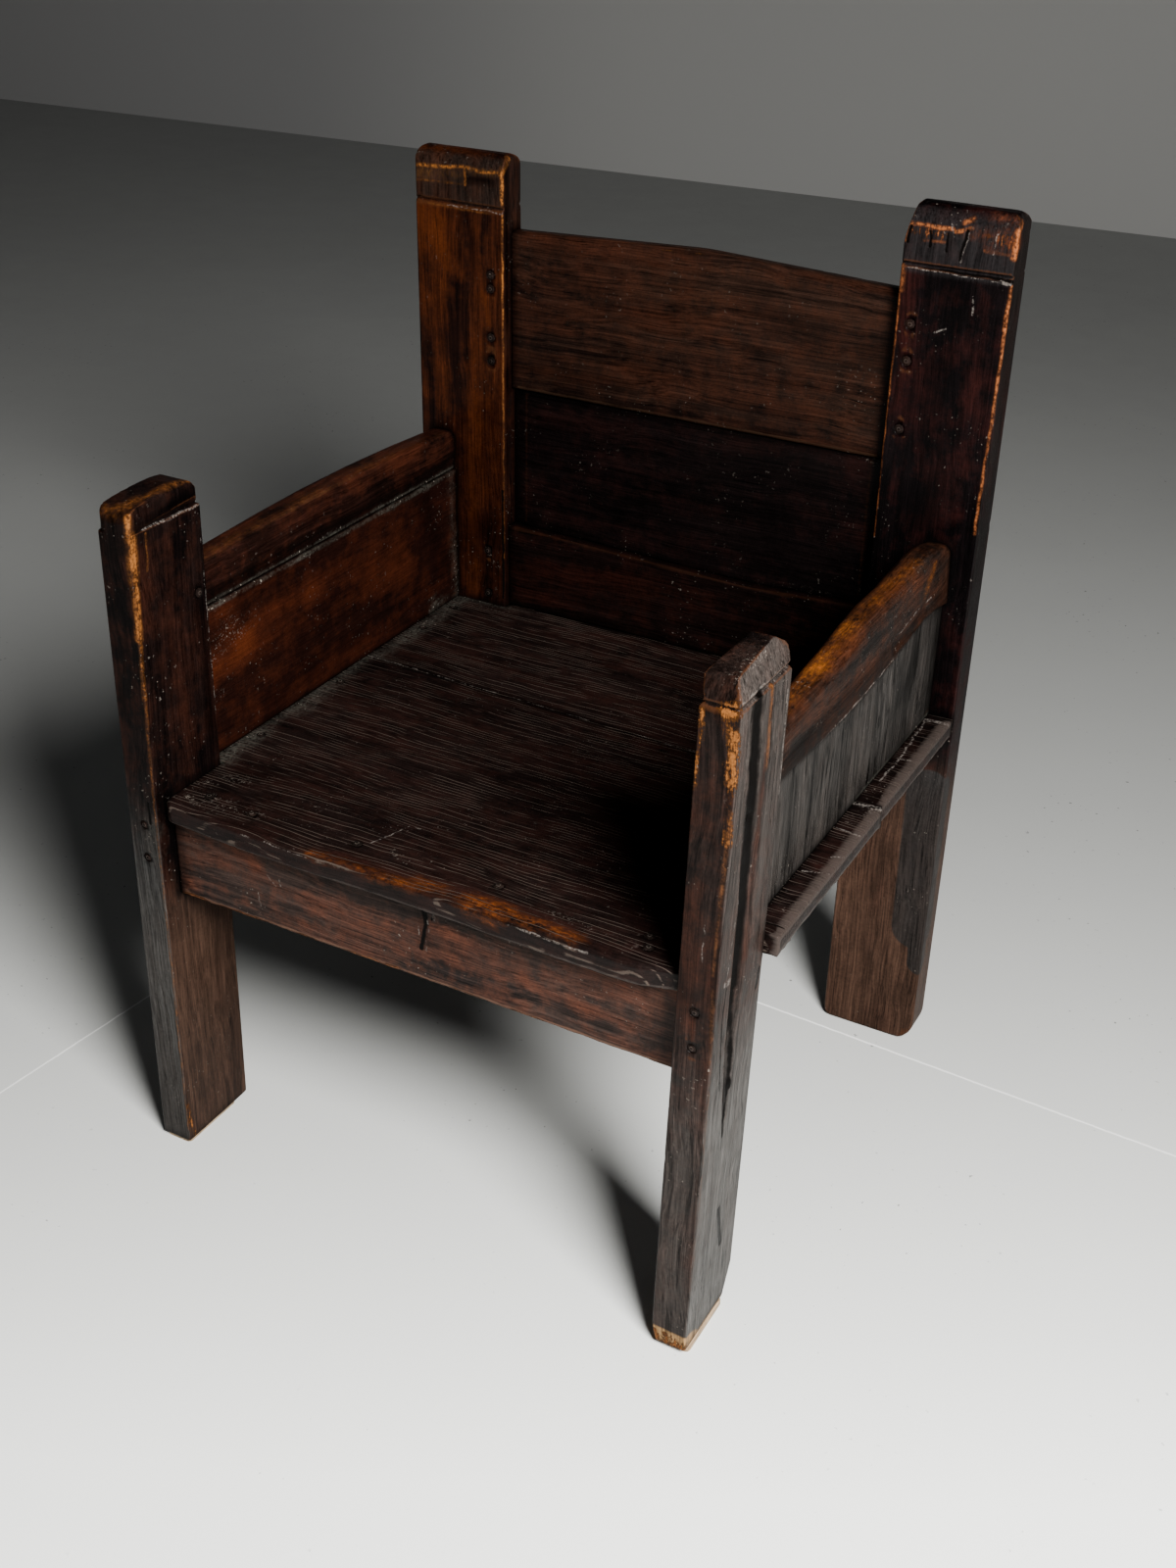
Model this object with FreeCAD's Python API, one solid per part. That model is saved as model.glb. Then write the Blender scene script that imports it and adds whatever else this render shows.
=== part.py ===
import FreeCAD, Part
import math
import os

# Plank armchair: four posts, a boarded seat, a back of three boards and two
# arm rails over side panels. Sawn by hand, tenoned, grooved and pegged, and
# leaning a little to the right with age.
# Millimetres. X runs from left to right as seen from the front, Y from front
# to back, Z up. The origin is on the floor, under the middle of the chair.

Vector = FreeCAD.Vector
os.makedirs("parts", exist_ok=True)

# Whole chair
frame_depth = 585.0            # front of the front posts to the back of the back posts
back_width = 647.0             # over the outer faces of the back posts
seat_height = 420.0            # floor to the top of the seat
lean_share = 0.02              # sideways lean of the front posts, as a share of their height

# Fits and finish
fit = 0.2                      # play round a tenon, a tongue or a notch
peg_fit = 0.1                  # play round a peg, on its radius
overrun = 6.0                  # how far a cut runs past the wood that it opens
arris = 2.5                    # rounding of a plank's worn long edges

# Front posts: planks with an edge to the front
front_post_width = 36.0
front_post_depth = 96.0
front_left_inset = 12.5        # foot's outer face, inside the line of the back post
front_right_inset = 19.5
front_left_rise = 296.5        # top of the head above the seat
front_right_rise = 284.0
front_left_head = 28.5         # head above its saw kerf
front_right_head = 29.0
front_head_round = 9.0         # upright corners of a front head

# Back posts: wide planks with a face to the front
back_post_width = 107.5
back_post_thickness = 39.0
back_left_rise = 499.0
back_right_rise = 508.0
back_left_head = 53.0
back_right_head = 56.0
back_head_round = 3.5

# Saw kerfs under the heads
kerf_depth = 3.5
kerf_width = 4.5
left_kerf_depth = 6.0          # the front left kerf is a step that deepens to the back
left_kerf_start = 2.0          # its depth at the front
left_kerf_rise = 9.0           # height of its sloping upper side

# Heads: each corner is a share of the width or depth, a share of the head's
# height and a rounding as a share of the head's height.
front_left_head_front_shares = ((0, 1, 0.28), (1, 0.97, 0.3))
front_left_head_side_shares = ((0, 0.74, 0.5), (0.64, 1, 0.9), (0.9, 0.84, 0.15), (1, 0.42, 0.15))
front_right_head_front_shares = ((0, 0.9, 0.3), (0.72, 1, 0.12), (0.97, 0.14, 0))
front_right_head_side_shares = ((0.01, 0.1, 0), (0.08, 0.8, 0.12), (0.8, 1, 0.3), (1, 0.6, 0.3))
back_left_head_front_shares = ((0, 1, 0.12), (1, 0.99, 0.14))
back_right_head_front_shares = ((0, 0.34, 0.2), (0.08, 1, 0.08), (1, 0.98, 0.22))

# Feet
foot_round = 4.0               # worn lower corners
back_right_foot_round = 25.0   # outer corner of the back right foot
back_right_foot_inner_round = 12.0
right_foot_cut_width = 5.0     # slanted inner corner of the front right foot
right_foot_cut_height = 24.0
right_heel_cut_depth = 14.0    # worn rear corner of the same foot
right_heel_cut_height = 40.0
right_heel_round = 10.0
left_pad_thickness = 3.0
right_pad_thickness = 4.5
pad_inset = 2.5                # pad inside the post's outline
pad_round = 5.0
right_pad_shift = 3.5          # the right pad stands proud of the outer face

# Shake: an open natural channel down the outer face of the front right post.
# Each row is a height as a share of the kerf's height, then the front edge,
# deepest line and back edge as shares of the post's depth, and the depth as a
# share of the shake's full depth.
shake_depth = 9.0
shake_shares = ((0.995, 0.14, 0.26, 0.44, 0.75), (0.72, 0.30, 0.40, 0.69, 1),
                (0.52, 0.30, 0.37, 0.55, 0.8), (0.40, 0.37, 0.41, 0.5, 0.45),
                (0.35, 0.42, 0.43, 0.44, 0.05))

# Seat: two boards that run past the side panels as ledges
seat_thickness = 21.0
seat_overhang = 1.5            # front board past the back posts, each side
rear_board_shortfall = 2.0     # rear board shorter than the front one, each side
joint_left = 362.0             # joint of the boards behind the front plane, at each end
joint_right = 340.0
seat_back_gap = 2.0            # rear board short of the posts' back faces
seat_edge_round = 5.0          # rounding of the worn front edge
seat_edge_wear = 12.0          # deepest wear of the front edge
seat_edge_bend = 90.0          # radius of its gentle bends
# Front edge: share of the span between the posts, share of the wear, share of the bend
seat_edge_shares = ((0, 0.62, 0.13), (0.17, 0.2, 1), (0.32, 0.14, 1), (0.44, 0.32, 1),
                    (0.66, 0.2, 1), (0.78, 0.02, 1), (0.93, 0.06, 0.5), (1, 1, 0))

# Front rail under the seat
front_rail_setback = 22.0
front_rail_thickness = 28.0
front_rail_height = 91.0
front_rail_tenon = 27.0        # length
front_rail_tenon_thickness = 14.0

# Back rail under the seat
back_rail_setback = 5.0        # behind the front faces of the back posts
back_rail_thickness = 28.0
back_rail_height = 69.0
back_rail_shoulder = 8.0
back_rail_tenon = 28.0
back_rail_tenon_thickness = 12.0

# Seat bearers between the front and back posts
bearer_width = 34.0
bearer_height = 33.0
bearer_setback = 35.0          # outer face inside the end of the seat
bearer_stub = 20.0             # length of the stub tenons
bearer_stub_thickness = 10.0
bearer_shoulder = 5.0

# Back boards
lower_board_height = 97.0      # at its ends
lower_board_setback = 9.0      # front face behind the front faces of the posts
lower_board_thickness = 25.0
lower_board_dip = 8.0          # how far its top edge dips
lower_board_dip_share = 0.68   # where it dips most, as a share of the span
middle_board_height = 157.0
middle_board_setback = 21.0
middle_board_thickness = 14.0
middle_board_bevel = 16.0      # width of the bevel at each end
tongue_thickness = 8.0
tongue_length = 8.0
crest_height = 168.0           # at its ends
crest_peak = 9.0               # rise of its top edge in the middle
crest_peak_share = 0.51
crest_setback = 17.0
crest_thickness = 20.0
crest_edge_round = 7.0
back_tenon = 34.0              # length of the tenons in the back posts
back_tenon_thickness = 10.0
back_tenon_setback = 21.0      # tenon's front face behind the post's front face
back_tenon_shoulder = 12.0

# Side panels
panel_thickness = 19.0
left_panel_inset = 5.6         # outer face inside the front post's outer face, at the seat
right_panel_inset = 15.4
panel_tongue_thickness = 10.0
panel_tongue_length = 10.0
panel_tongue_inset = 4.0       # tongue behind the panel's outer face

# Left arm rail
left_arm_bottom = 155.0        # underside above the seat
left_arm_height = 52.0
left_arm_width = 30.0
left_arm_ledge = 3.0           # panel proud of the rail's inner face
left_arm_round = 8.0
# Sections from front to back: share of the length, bottom and top as shares of the height
left_arm_shares = ((0, 0, 0.87), (0.14, 0, 0.91), (0.3, 0, 0.97), (0.45, 0, 1), (0.62, 0, 0.99),
                   (0.8, 0, 0.94), (1, 0, 0.84))

# Right arm rail
right_arm_bottom = 119.0
right_arm_height = 80.0
right_arm_width = 34.0
right_arm_proud = 5.0          # outer face proud of the panel
right_arm_round = 11.0
right_arm_lower_round = 4.0
right_arm_slope_share = 0.88   # width that is left at the top of the sloping outer face
right_arm_groove = 23.0        # height of the panel's groove above the rail's lowest point
right_arm_shares = ((0, 0.09, 0.62), (0.12, 0.075, 0.68), (0.26, 0.03, 0.75), (0.4, 0, 0.83),
                    (0.5, 0, 0.91), (0.58, 0.02, 0.945), (0.68, 0.06, 0.935), (0.78, 0.14, 0.97),
                    (0.86, 0.18, 1), (0.93, 0.15, 0.96), (1, 0.07, 0.86))

# Arm tenons
arm_tenon = 26.0
arm_tenon_thickness = 13.0
arm_tenon_inset = 4.0          # behind the right rail's outer face
arm_tenon_share = 0.3          # tenon's lower side, as a share of the rail's end
arm_tenon_top_share = 0.86

# Pegs
peg_radius = 4.8               # over the corners of a whittled peg
peg_sides = 8
peg_dome = 1.2                 # height of its tapered head
peg_dome_share = 0.6           # width of the flat left on the head
peg_proud = 1.0                # top of the dome above the wood of the back posts
arm_peg_setback = 12.0         # in front of the front post's rear edge
arm_peg_share = 0.62           # height in the tenon
arm_peg_end = 4.0              # wood left behind the peg
back_peg_end = 4.0
front_peg_inset = 17.5         # from the post's inner face
front_peg_length = 62.0
front_peg_shares = (0.52, 0.925)
crest_peg_inset = 15.5
crest_peg_left_shares = (0.19, 0.34, 0.65, 0.735)
crest_peg_right_shares = (0.24, 0.64, 0.85)
lower_peg_inset = 22.0
lower_peg_shares = (0.13, 0.67)
seat_peg_length = 46.0
# Seat pegs in the front rail: share of the span between the posts, share of the rail's thickness
rail_peg_shares = ((0.06, 0.55), (0.16, 0.35), (0.37, 0.6), (0.64, 0.8), (0.915, 0.75), (0.927, 0.22))
# Seat pegs in the bearers: shares of the bearer's length
bearer_peg_shares = (0.14, 0.44, 0.79, 0.93)

# Levels and planes that follow from the sizes
front_plane = -frame_depth / 2
back_plane = frame_depth / 2
front_post_rear = front_plane + front_post_depth
back_post_face = back_plane - back_post_thickness
back_outer = back_width / 2
back_inner = back_outer - back_post_width
seat_under = seat_height - seat_thickness
left_foot = -back_outer + front_left_inset
right_foot = back_outer - front_right_inset - front_post_width
front_left_top = seat_height + front_left_rise
front_right_top = seat_height + front_right_rise
front_left_kerf = front_left_top - front_left_head
front_right_kerf = front_right_top - front_right_head
back_left_kerf = seat_height + back_left_rise - back_left_head
back_right_kerf = seat_height + back_right_rise - back_right_head
lower_board_top = seat_height + lower_board_height
middle_board_top = lower_board_top + middle_board_height
crest_end_top = middle_board_top + crest_height

FRONT_VIEW = (Vector(1, 0, 0), Vector(0, 0, 1), Vector(0, 1, 0))
SIDE_VIEW = (Vector(0, 1, 0), Vector(0, 0, 1), Vector(1, 0, 0))
PLAN_VIEW = (Vector(1, 0, 0), Vector(0, 1, 0), Vector(0, 0, 1))


def rounded_wire(view, level, corners):
    """Closed outline at a level of one view, each corner (u, v, radius) rounded by an arc."""
    across, up, through = view
    points = [across * u + up * v + through * level for u, v, _ in corners]
    turns = []
    for index, (_, _, radius) in enumerate(corners):
        corner = points[index]
        back = (points[index - 1] - corner).normalize()
        ahead = (points[(index + 1) % len(points)] - corner).normalize()
        half = back.getAngle(ahead) / 2
        if radius == 0 or math.isclose(half, math.pi / 2):
            turns.append((corner, None, corner))
            continue
        reach = radius / math.tan(half)
        middle = corner + (back + ahead).normalize() * (radius / math.sin(half) - radius)
        turns.append((corner + back * reach, middle, corner + ahead * reach))
    edges = []
    for index, (start, middle, end) in enumerate(turns):
        if middle is not None:
            edges.append(Part.Arc(start, middle, end).toShape())
        edges.append(Part.LineSegment(end, turns[(index + 1) % len(turns)][0]).toShape())
    return Part.Wire(edges)


def prism(view, corners, start, end):
    """Block with a rounded outline in one view, from a start to an end level."""
    return Part.Face(rounded_wire(view, start, corners)).extrude(view[2] * (end - start))


def block(x_start, x_end, y_start, y_end, z_start, z_end):
    """Plain block between two levels on each axis, given in either order."""
    low = Vector(min(x_start, x_end), min(y_start, y_end), min(z_start, z_end))
    size = Vector(abs(x_end - x_start), abs(y_end - y_start), abs(z_end - z_start))
    return Part.makeBox(size.x, size.y, size.z, low)


def join(*solids):
    """One solid from several that meet face to face or overlap."""
    whole = solids[0]
    for solid in solids[1:]:
        whole = whole.fuse(solid)
    return whole.removeSplitter()


def pocket(limits):
    """Hole for a tenon or tongue with the given limits, with the play of the fit round it."""
    x_start, x_end, y_start, y_end, z_start, z_end = limits
    return block(min(x_start, x_end) - fit, max(x_start, x_end) + fit, y_start - fit, y_end + fit,
                 z_start - fit, z_end + fit)


def left_post_x(share, height):
    """X on the front left post at a height, from its outer (0) to its inner (1) face."""
    return left_foot + share * front_post_width + lean_share * height


def right_post_x(share, height):
    """X on the front right post at a height, from its inner (0) to its outer (1) face."""
    return right_foot + share * front_post_width + lean_share * height


def seam_height(x):
    """Height of the worn seam between the lower and middle back boards."""
    share = (x + back_inner) / (2 * back_inner)
    if share < lower_board_dip_share:
        fall = share / lower_board_dip_share
    else:
        fall = (1 - share) / (1 - lower_board_dip_share)
    return lower_board_top - lower_board_dip * fall


def kerf_notch(face, kerf, inward):
    """Three corners of a saw kerf in an outline; inward is the sign of its depth."""
    half = kerf_width / 2
    return [(face, kerf - half, 0), (face + inward * kerf_depth, kerf, 0), (face, kerf + half, 0)]


def head_corners(start, width, kerf, head, shares):
    """Corners of a post's head from its table of shares."""
    return [(start + along * width, kerf + up * head, rounding * head) for along, up, rounding in shares]


def post_length(x_start, width, y_start, depth, base, top, lean, rounding):
    """Length of a post with rounded upright corners, leaning sideways as it rises."""
    corners = [(x_start + lean * base, base, 0), (x_start + lean * top, top, 0),
               (x_start + lean * top + width, top, 0), (x_start + lean * base + width, base, 0)]
    length = prism(FRONT_VIEW, corners, y_start, y_start + depth)
    uprights = [edge for edge in length.Edges
                if math.isclose(edge.BoundBox.ZLength, top - base, abs_tol=fit) and edge.BoundBox.YLength < fit]
    return length.makeFillet(rounding, uprights)


def post(outlines, x_start, width, y_start, depth, levels, lean, head_round):
    """Post cut to its front and side outlines, with rounded corners on shaft and head."""
    front_outline, side_outline = outlines
    base, kerf, top = levels
    seen = prism(FRONT_VIEW, front_outline, y_start, y_start + depth)
    seen = seen.common(prism(SIDE_VIEW, side_outline, -back_width, back_width))
    shaft = post_length(x_start, width, y_start, depth, base, kerf, lean, arris)
    head = post_length(x_start, width, y_start, depth, kerf, top, lean, head_round)
    return seen.common(join(shaft, head)).removeSplitter()


def peg_outline(radius, level):
    """Eight-sided outline of a whittled peg, at a level on its own axis."""
    turns = [2 * math.pi * index / peg_sides for index in range(peg_sides)]
    points = [Vector(radius * math.cos(turn), radius * math.sin(turn), level) for turn in turns]
    return Part.makePolygon(points + points[:1])


def placed(solid, tip, direction):
    """Solid modelled along its own Z, moved to a tip and turned to a direction."""
    solid.Placement = FreeCAD.Placement(tip, FreeCAD.Rotation(Vector(0, 0, 1), direction))
    return solid


def peg(tip, direction, length):
    """Whittled peg with a tapered head; the tip is the top of the head."""
    shank = Part.Face(peg_outline(peg_radius, -length)).extrude(Vector(0, 0, length - peg_dome))
    head = Part.makeLoft([peg_outline(peg_radius, -peg_dome), peg_outline(peg_radius * peg_dome_share, 0)],
                         True, True)
    return placed(join(shank, head), tip, direction)


def bored(piece, pegs):
    """Piece with the holes of its pegs cut through it."""
    for tip, direction, length in pegs:
        hole = Part.Face(peg_outline(peg_radius + peg_fit, -length - peg_fit))
        hole = placed(hole.extrude(Vector(0, 0, length + overrun)), tip, direction)
        piece = piece.cut(hole)
    return piece


# Places of the side panels and arm rails, which line up with the front posts

left_panel_outer = left_post_x(0, seat_height) + left_panel_inset
left_panel_inner = left_panel_outer + panel_thickness
right_panel_outer = right_post_x(1, seat_height) - right_panel_inset
right_panel_inner = right_panel_outer - panel_thickness
left_arm_inner = left_panel_inner - left_arm_ledge
left_arm_outer = left_arm_inner - left_arm_width
right_arm_outer = right_panel_outer + right_arm_proud
right_arm_inner = right_arm_outer - right_arm_width
left_arm_under = seat_height + left_arm_bottom
right_arm_under = seat_height + right_arm_bottom
bearer_outer = back_outer + seat_overhang - bearer_setback
bearer_inner = bearer_outer - bearer_width


def arm_tenons(x_start, x_end, under, height, shares):
    """Limits of the front and back tenons of an arm rail."""
    limits = []
    for (_, low, high), y_start, y_end in (
            (shares[0], front_post_rear - arm_tenon, front_post_rear),
            (shares[-1], back_post_face, back_post_face + arm_tenon)):
        end_height = (high - low) * height
        z_start = under + low * height + arm_tenon_share * end_height
        z_end = under + low * height + arm_tenon_top_share * end_height
        limits.append((x_start, x_end, y_start, y_end, z_start, z_end))
    return limits


left_arm_tenons = arm_tenons(left_arm_inner - arm_tenon_thickness, left_arm_inner,
                             left_arm_under, left_arm_height, left_arm_shares)
right_tenon_outer = right_arm_outer - arm_tenon_inset
right_arm_tenons = arm_tenons(right_tenon_outer - arm_tenon_thickness, right_tenon_outer,
                              right_arm_under, right_arm_height, right_arm_shares)


def panel_tongues(outer, inward, top):
    """Limits of the front and back tongues of a side panel."""
    x_start = outer + inward * panel_tongue_inset
    x_end = x_start + inward * panel_tongue_thickness
    return [(x_start, x_end, front_post_rear - panel_tongue_length, front_post_rear, seat_height, top),
            (x_start, x_end, back_post_face, back_post_face + panel_tongue_length, seat_height, top)]


right_panel_top = right_arm_under + right_arm_groove
left_panel_tongues = panel_tongues(left_panel_outer, 1, left_arm_under)
right_panel_tongues = panel_tongues(right_panel_outer, -1, right_panel_top)


def bearer_stubs(side):
    """Limits of the stub tenons of a seat bearer; side is -1 on the left and 1 on the right."""
    x_start = side * bearer_outer
    x_end = side * (bearer_outer - bearer_stub_thickness)
    z_start = seat_under - bearer_height + bearer_shoulder
    z_end = seat_under - bearer_shoulder
    return [(x_start, x_end, front_post_rear - bearer_stub, front_post_rear, z_start, z_end),
            (x_start, x_end, back_post_face, back_post_face + bearer_stub, z_start, z_end)]


# Tenons of the boards and rails that cross between the posts

front_rail_face = front_plane + front_rail_setback
front_rail_bottom = seat_under - front_rail_height
front_tenon_face = front_rail_face + (front_rail_thickness - front_rail_tenon_thickness) / 2
front_tenon_back = front_tenon_face + front_rail_tenon_thickness
back_tenon_face = back_post_face + back_tenon_setback
back_tenon_back = back_tenon_face + back_tenon_thickness
middle_board_face = back_post_face + middle_board_setback
tongue_face = middle_board_face + (middle_board_thickness - tongue_thickness) / 2
tongue_back = tongue_face + tongue_thickness
lower_tenon_top = lower_board_top - lower_board_dip - tongue_length - overrun / 2


def back_tenons(y_start, y_end, z_start, z_end, length):
    """Limits of the two tenons of a piece between the back posts."""
    return [(side * back_inner, side * (back_inner + length), y_start, y_end, z_start, z_end)
            for side in (-1, 1)]


crest_tenons = back_tenons(back_tenon_face, back_tenon_back, middle_board_top + back_tenon_shoulder,
                           crest_end_top - back_tenon_shoulder, back_tenon)
lower_tenons = back_tenons(back_tenon_face, back_tenon_back, seat_height + peg_fit,
                           lower_tenon_top, back_tenon)
middle_tongues = back_tenons(tongue_face, tongue_back, lower_board_top, middle_board_top, tongue_length)
back_rail_face = back_post_face + back_rail_setback
back_rail_tenon_face = back_rail_face + (back_rail_thickness - back_rail_tenon_thickness) / 2
back_rail_tenons = back_tenons(back_rail_tenon_face, back_rail_tenon_face + back_rail_tenon_thickness,
                               seat_under - back_rail_height + back_rail_shoulder,
                               seat_under - back_rail_shoulder, back_rail_tenon)

# Pegs: the tip of the dome, the way it points, and the length

forward = Vector(0, -1, 0)
upward = Vector(0, 0, 1)
back_peg_length = back_post_thickness + peg_proud - back_peg_end


def back_pegs(inset, level, height, left_shares, right_shares):
    """Pegs through the back posts, at shares of a board's height."""
    pegs = []
    for side, shares in ((-1, left_shares), (1, right_shares)):
        for share in shares:
            tip = Vector(side * (back_inner + inset), back_post_face - peg_proud, level + share * height)
            pegs.append((tip, forward, back_peg_length))
    return pegs


crest_pegs = back_pegs(crest_peg_inset, middle_board_top, crest_height,
                       crest_peg_left_shares, crest_peg_right_shares)
lower_back_pegs = back_pegs(lower_peg_inset, seat_height, lower_board_height,
                            lower_peg_shares, lower_peg_shares)

front_rail_pegs = []
for share in front_peg_shares:
    peg_height = front_rail_bottom + share * front_rail_height
    left_x = left_post_x(1, peg_height) - front_peg_inset
    right_x = right_post_x(0, peg_height) + front_peg_inset
    for x in (left_x, right_x):
        front_rail_pegs.append((Vector(x, front_plane, peg_height), forward, front_peg_length))

arm_rail_pegs = []
arm_peg_y = front_post_rear - arm_peg_setback
arm_peg_length = front_post_width + peg_proud - arm_peg_end
for tenon, post_x, inner_share, direction in ((left_arm_tenons[0], left_post_x, 1, 1),
                                              (right_arm_tenons[0], right_post_x, 0, -1)):
    peg_height = tenon[4] + arm_peg_share * (tenon[5] - tenon[4])
    tip = Vector(post_x(inner_share, peg_height) + direction * peg_proud, arm_peg_y, peg_height)
    arm_rail_pegs.append((tip, Vector(direction, 0, 0), arm_peg_length))

seat_span_start = left_post_x(1, seat_height) + fit
seat_span_end = right_post_x(0, seat_under) - fit
seat_span = seat_span_end - seat_span_start
seat_pegs = []
for along, across in rail_peg_shares:
    tip = Vector(seat_span_start + along * seat_span, front_rail_face + across * front_rail_thickness,
                 seat_height + peg_proud)
    seat_pegs.append((tip, upward, seat_peg_length))
bearer_length = back_post_face - front_post_rear
bearer_peg_xs = ((left_panel_inner - bearer_inner) / 2, (right_panel_inner + bearer_inner) / 2)
for peg_x in bearer_peg_xs:
    for share in bearer_peg_shares:
        tip = Vector(peg_x, front_post_rear + share * bearer_length, seat_height + peg_proud)
        seat_pegs.append((tip, upward, seat_peg_length))


# Posts

def with_pockets(piece, limits):
    """Piece with a pocket cut for each tenon or tongue that enters it."""
    for limit in limits:
        piece = piece.cut(pocket(limit))
    return piece


def front_rail_tenon_outline(side):
    """Front outline of one tenon of the front rail, which follows the leaning post."""
    face, away = (left_post_x, -1) if side < 0 else (right_post_x, 1)
    share = 1 if side < 0 else 0
    low, high = face(share, front_rail_bottom), face(share, seat_under)
    return [(low, front_rail_bottom, 0), (high, seat_under, 0),
            (high + away * front_rail_tenon, seat_under, 0), (low + away * front_rail_tenon, front_rail_bottom, 0)]


def front_rail_mortise(side):
    """Mortise for one tenon of the front rail, cut level through the post's inner cheek."""
    xs = [u for u, _, _ in front_rail_tenon_outline(side)]
    low, high = min(xs), max(xs)
    if side < 0:
        high += overrun
    else:
        low -= overrun
    return block(low - fit, high + fit, front_tenon_face - fit, front_tenon_back + fit,
                 front_rail_bottom - fit, seat_under + fit)


def make_front_left_post():
    """Left front post: a step kerf on the inner face and a crowned head."""
    base, kerf, top = left_pad_thickness, front_left_kerf, front_left_top
    head_x = left_post_x(0, kerf)
    front = [(left_post_x(0, base), base, foot_round)]
    front += head_corners(head_x, front_post_width, kerf, front_left_head, front_left_head_front_shares)
    front += [(left_post_x(1, base), base, foot_round)]
    side = [(front_plane, base, foot_round)]
    side += head_corners(front_plane, front_post_depth, kerf, front_left_head, front_left_head_side_shares)
    side += [(front_post_rear, base, foot_round)]
    shape = post((front, side), left_foot, front_post_width, front_plane, front_post_depth,
                 (base, kerf, top), lean_share, front_head_round)
    # The kerf's section grows from the front to the back
    sections = []
    inner = left_post_x(1, kerf)
    for y, depth in ((front_plane, left_kerf_start), (front_post_rear, left_kerf_depth)):
        rise = left_kerf_rise * depth / left_kerf_depth
        corners = [(inner - depth, kerf, 0), (inner, kerf + rise, 0),
                   (inner + overrun, kerf + rise, 0), (inner + overrun, kerf, 0)]
        sections.append(rounded_wire(FRONT_VIEW, y, corners))
    shape = shape.cut(Part.makeLoft(sections, True, True))
    shape = shape.cut(front_rail_mortise(-1))
    shape = with_pockets(shape, [left_arm_tenons[0], left_panel_tongues[0], bearer_stubs(-1)[0]])
    return bored(shape, front_rail_pegs + arm_rail_pegs)


def make_shake():
    """Open channel of the shake, as a cutter that stands proud of the outer face."""
    sections = []
    for up, start, deep, end, depth in shake_shares:
        height = up * front_right_kerf
        face = right_post_x(1, height)
        ys = [front_plane + share * front_post_depth for share in (start, deep, end)]
        bottom = face - depth * shake_depth
        corners = [Vector(face + overrun, ys[0], height), Vector(face, ys[0], height),
                   Vector(bottom, ys[1], height), Vector(face, ys[2], height),
                   Vector(face + overrun, ys[2], height)]
        sections.append(Part.makePolygon(corners + corners[:1]))
    return Part.makeLoft(sections, True, True)


def make_front_right_post():
    """Right front post: a kerf all round, a flat-topped head, and the shake."""
    base, kerf, top = right_pad_thickness, front_right_kerf, front_right_top
    front = [(right_post_x(0, base) + right_foot_cut_width, base, 0),
             (right_post_x(0, base + right_foot_cut_height), base + right_foot_cut_height, 0)]
    front += kerf_notch(right_post_x(0, kerf), kerf, 1)
    front += head_corners(right_post_x(0, kerf), front_post_width, kerf, front_right_head,
                          front_right_head_front_shares)
    front += reversed(kerf_notch(right_post_x(1, kerf), kerf, -1)[:2])
    front += [(right_post_x(1, base), base, foot_round)]
    side = [(front_plane, base, foot_round)]
    side += kerf_notch(front_plane, kerf, 1)[:2]
    side += head_corners(front_plane, front_post_depth, kerf, front_right_head, front_right_head_side_shares)
    side += reversed(kerf_notch(front_post_rear, kerf, -1))
    side += [(front_post_rear, base + right_heel_cut_height, right_heel_round),
             (front_post_rear - right_heel_cut_depth, base, right_heel_round)]
    shape = post((front, side), right_foot, front_post_width, front_plane, front_post_depth,
                 (base, kerf, top), lean_share, front_head_round)
    shape = shape.cut(make_shake())
    shape = shape.cut(front_rail_mortise(1))
    shape = with_pockets(shape, [right_arm_tenons[0], right_panel_tongues[0], bearer_stubs(1)[0]])
    return bored(shape, front_rail_pegs + arm_rail_pegs)


def make_back_post(side, kerf, head, head_shares, foot_rounds, arm_tenon_limits, tongue_limits):
    """Back post with a half-round head; side is -1 on the left and 1 on the right."""
    x_start = -back_outer if side < 0 else back_inner
    x_end = x_start + back_post_width
    front = [(x_start, 0, foot_rounds[0])]
    front += head_corners(x_start, back_post_width, kerf, head, head_shares)
    front += [(x_end, 0, foot_rounds[1])]
    crown = back_post_thickness / 2 - peg_fit
    profile = [(back_post_face, 0, foot_round)]
    profile += kerf_notch(back_post_face, kerf, 1)
    profile += [(back_post_face, kerf + head, crown), (back_plane, kerf + head, crown)]
    profile += reversed(kerf_notch(back_plane, kerf, -1))
    profile += [(back_plane, 0, foot_round)]
    shape = post((front, profile), x_start, back_post_width, back_post_face, back_post_thickness,
                 (0, kerf, kerf + head), 0, back_head_round)
    index = 0 if side < 0 else 1
    entering = [crest_tenons[index], middle_tongues[index], lower_tenons[index], back_rail_tenons[index],
                arm_tenon_limits[1], tongue_limits[1], bearer_stubs(side)[1]]
    return bored(with_pockets(shape, entering), crest_pegs + lower_back_pegs)


# Back boards

def make_lower_back_board():
    """Bottom board of the back: stands on the seat and is grooved for the middle board."""
    dip_x = -back_inner + 2 * back_inner * lower_board_dip_share
    outline = [(-back_inner, seat_height, 0), (-back_inner, seam_height(-back_inner), 0),
               (dip_x, seam_height(dip_x), back_inner), (back_inner, seam_height(back_inner), 0),
               (back_inner, seat_height, 0)]
    face = back_post_face + lower_board_setback
    board = prism(FRONT_VIEW, outline, face, face + lower_board_thickness)
    board = join(board, *[block(*limits) for limits in lower_tenons])
    groove_bottom = lower_board_top - lower_board_dip - tongue_length - fit
    board = board.cut(block(-back_inner, back_inner, tongue_face - fit, tongue_back + fit,
                            groove_bottom, lower_board_top + overrun))
    return bored(board, lower_back_pegs)


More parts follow.
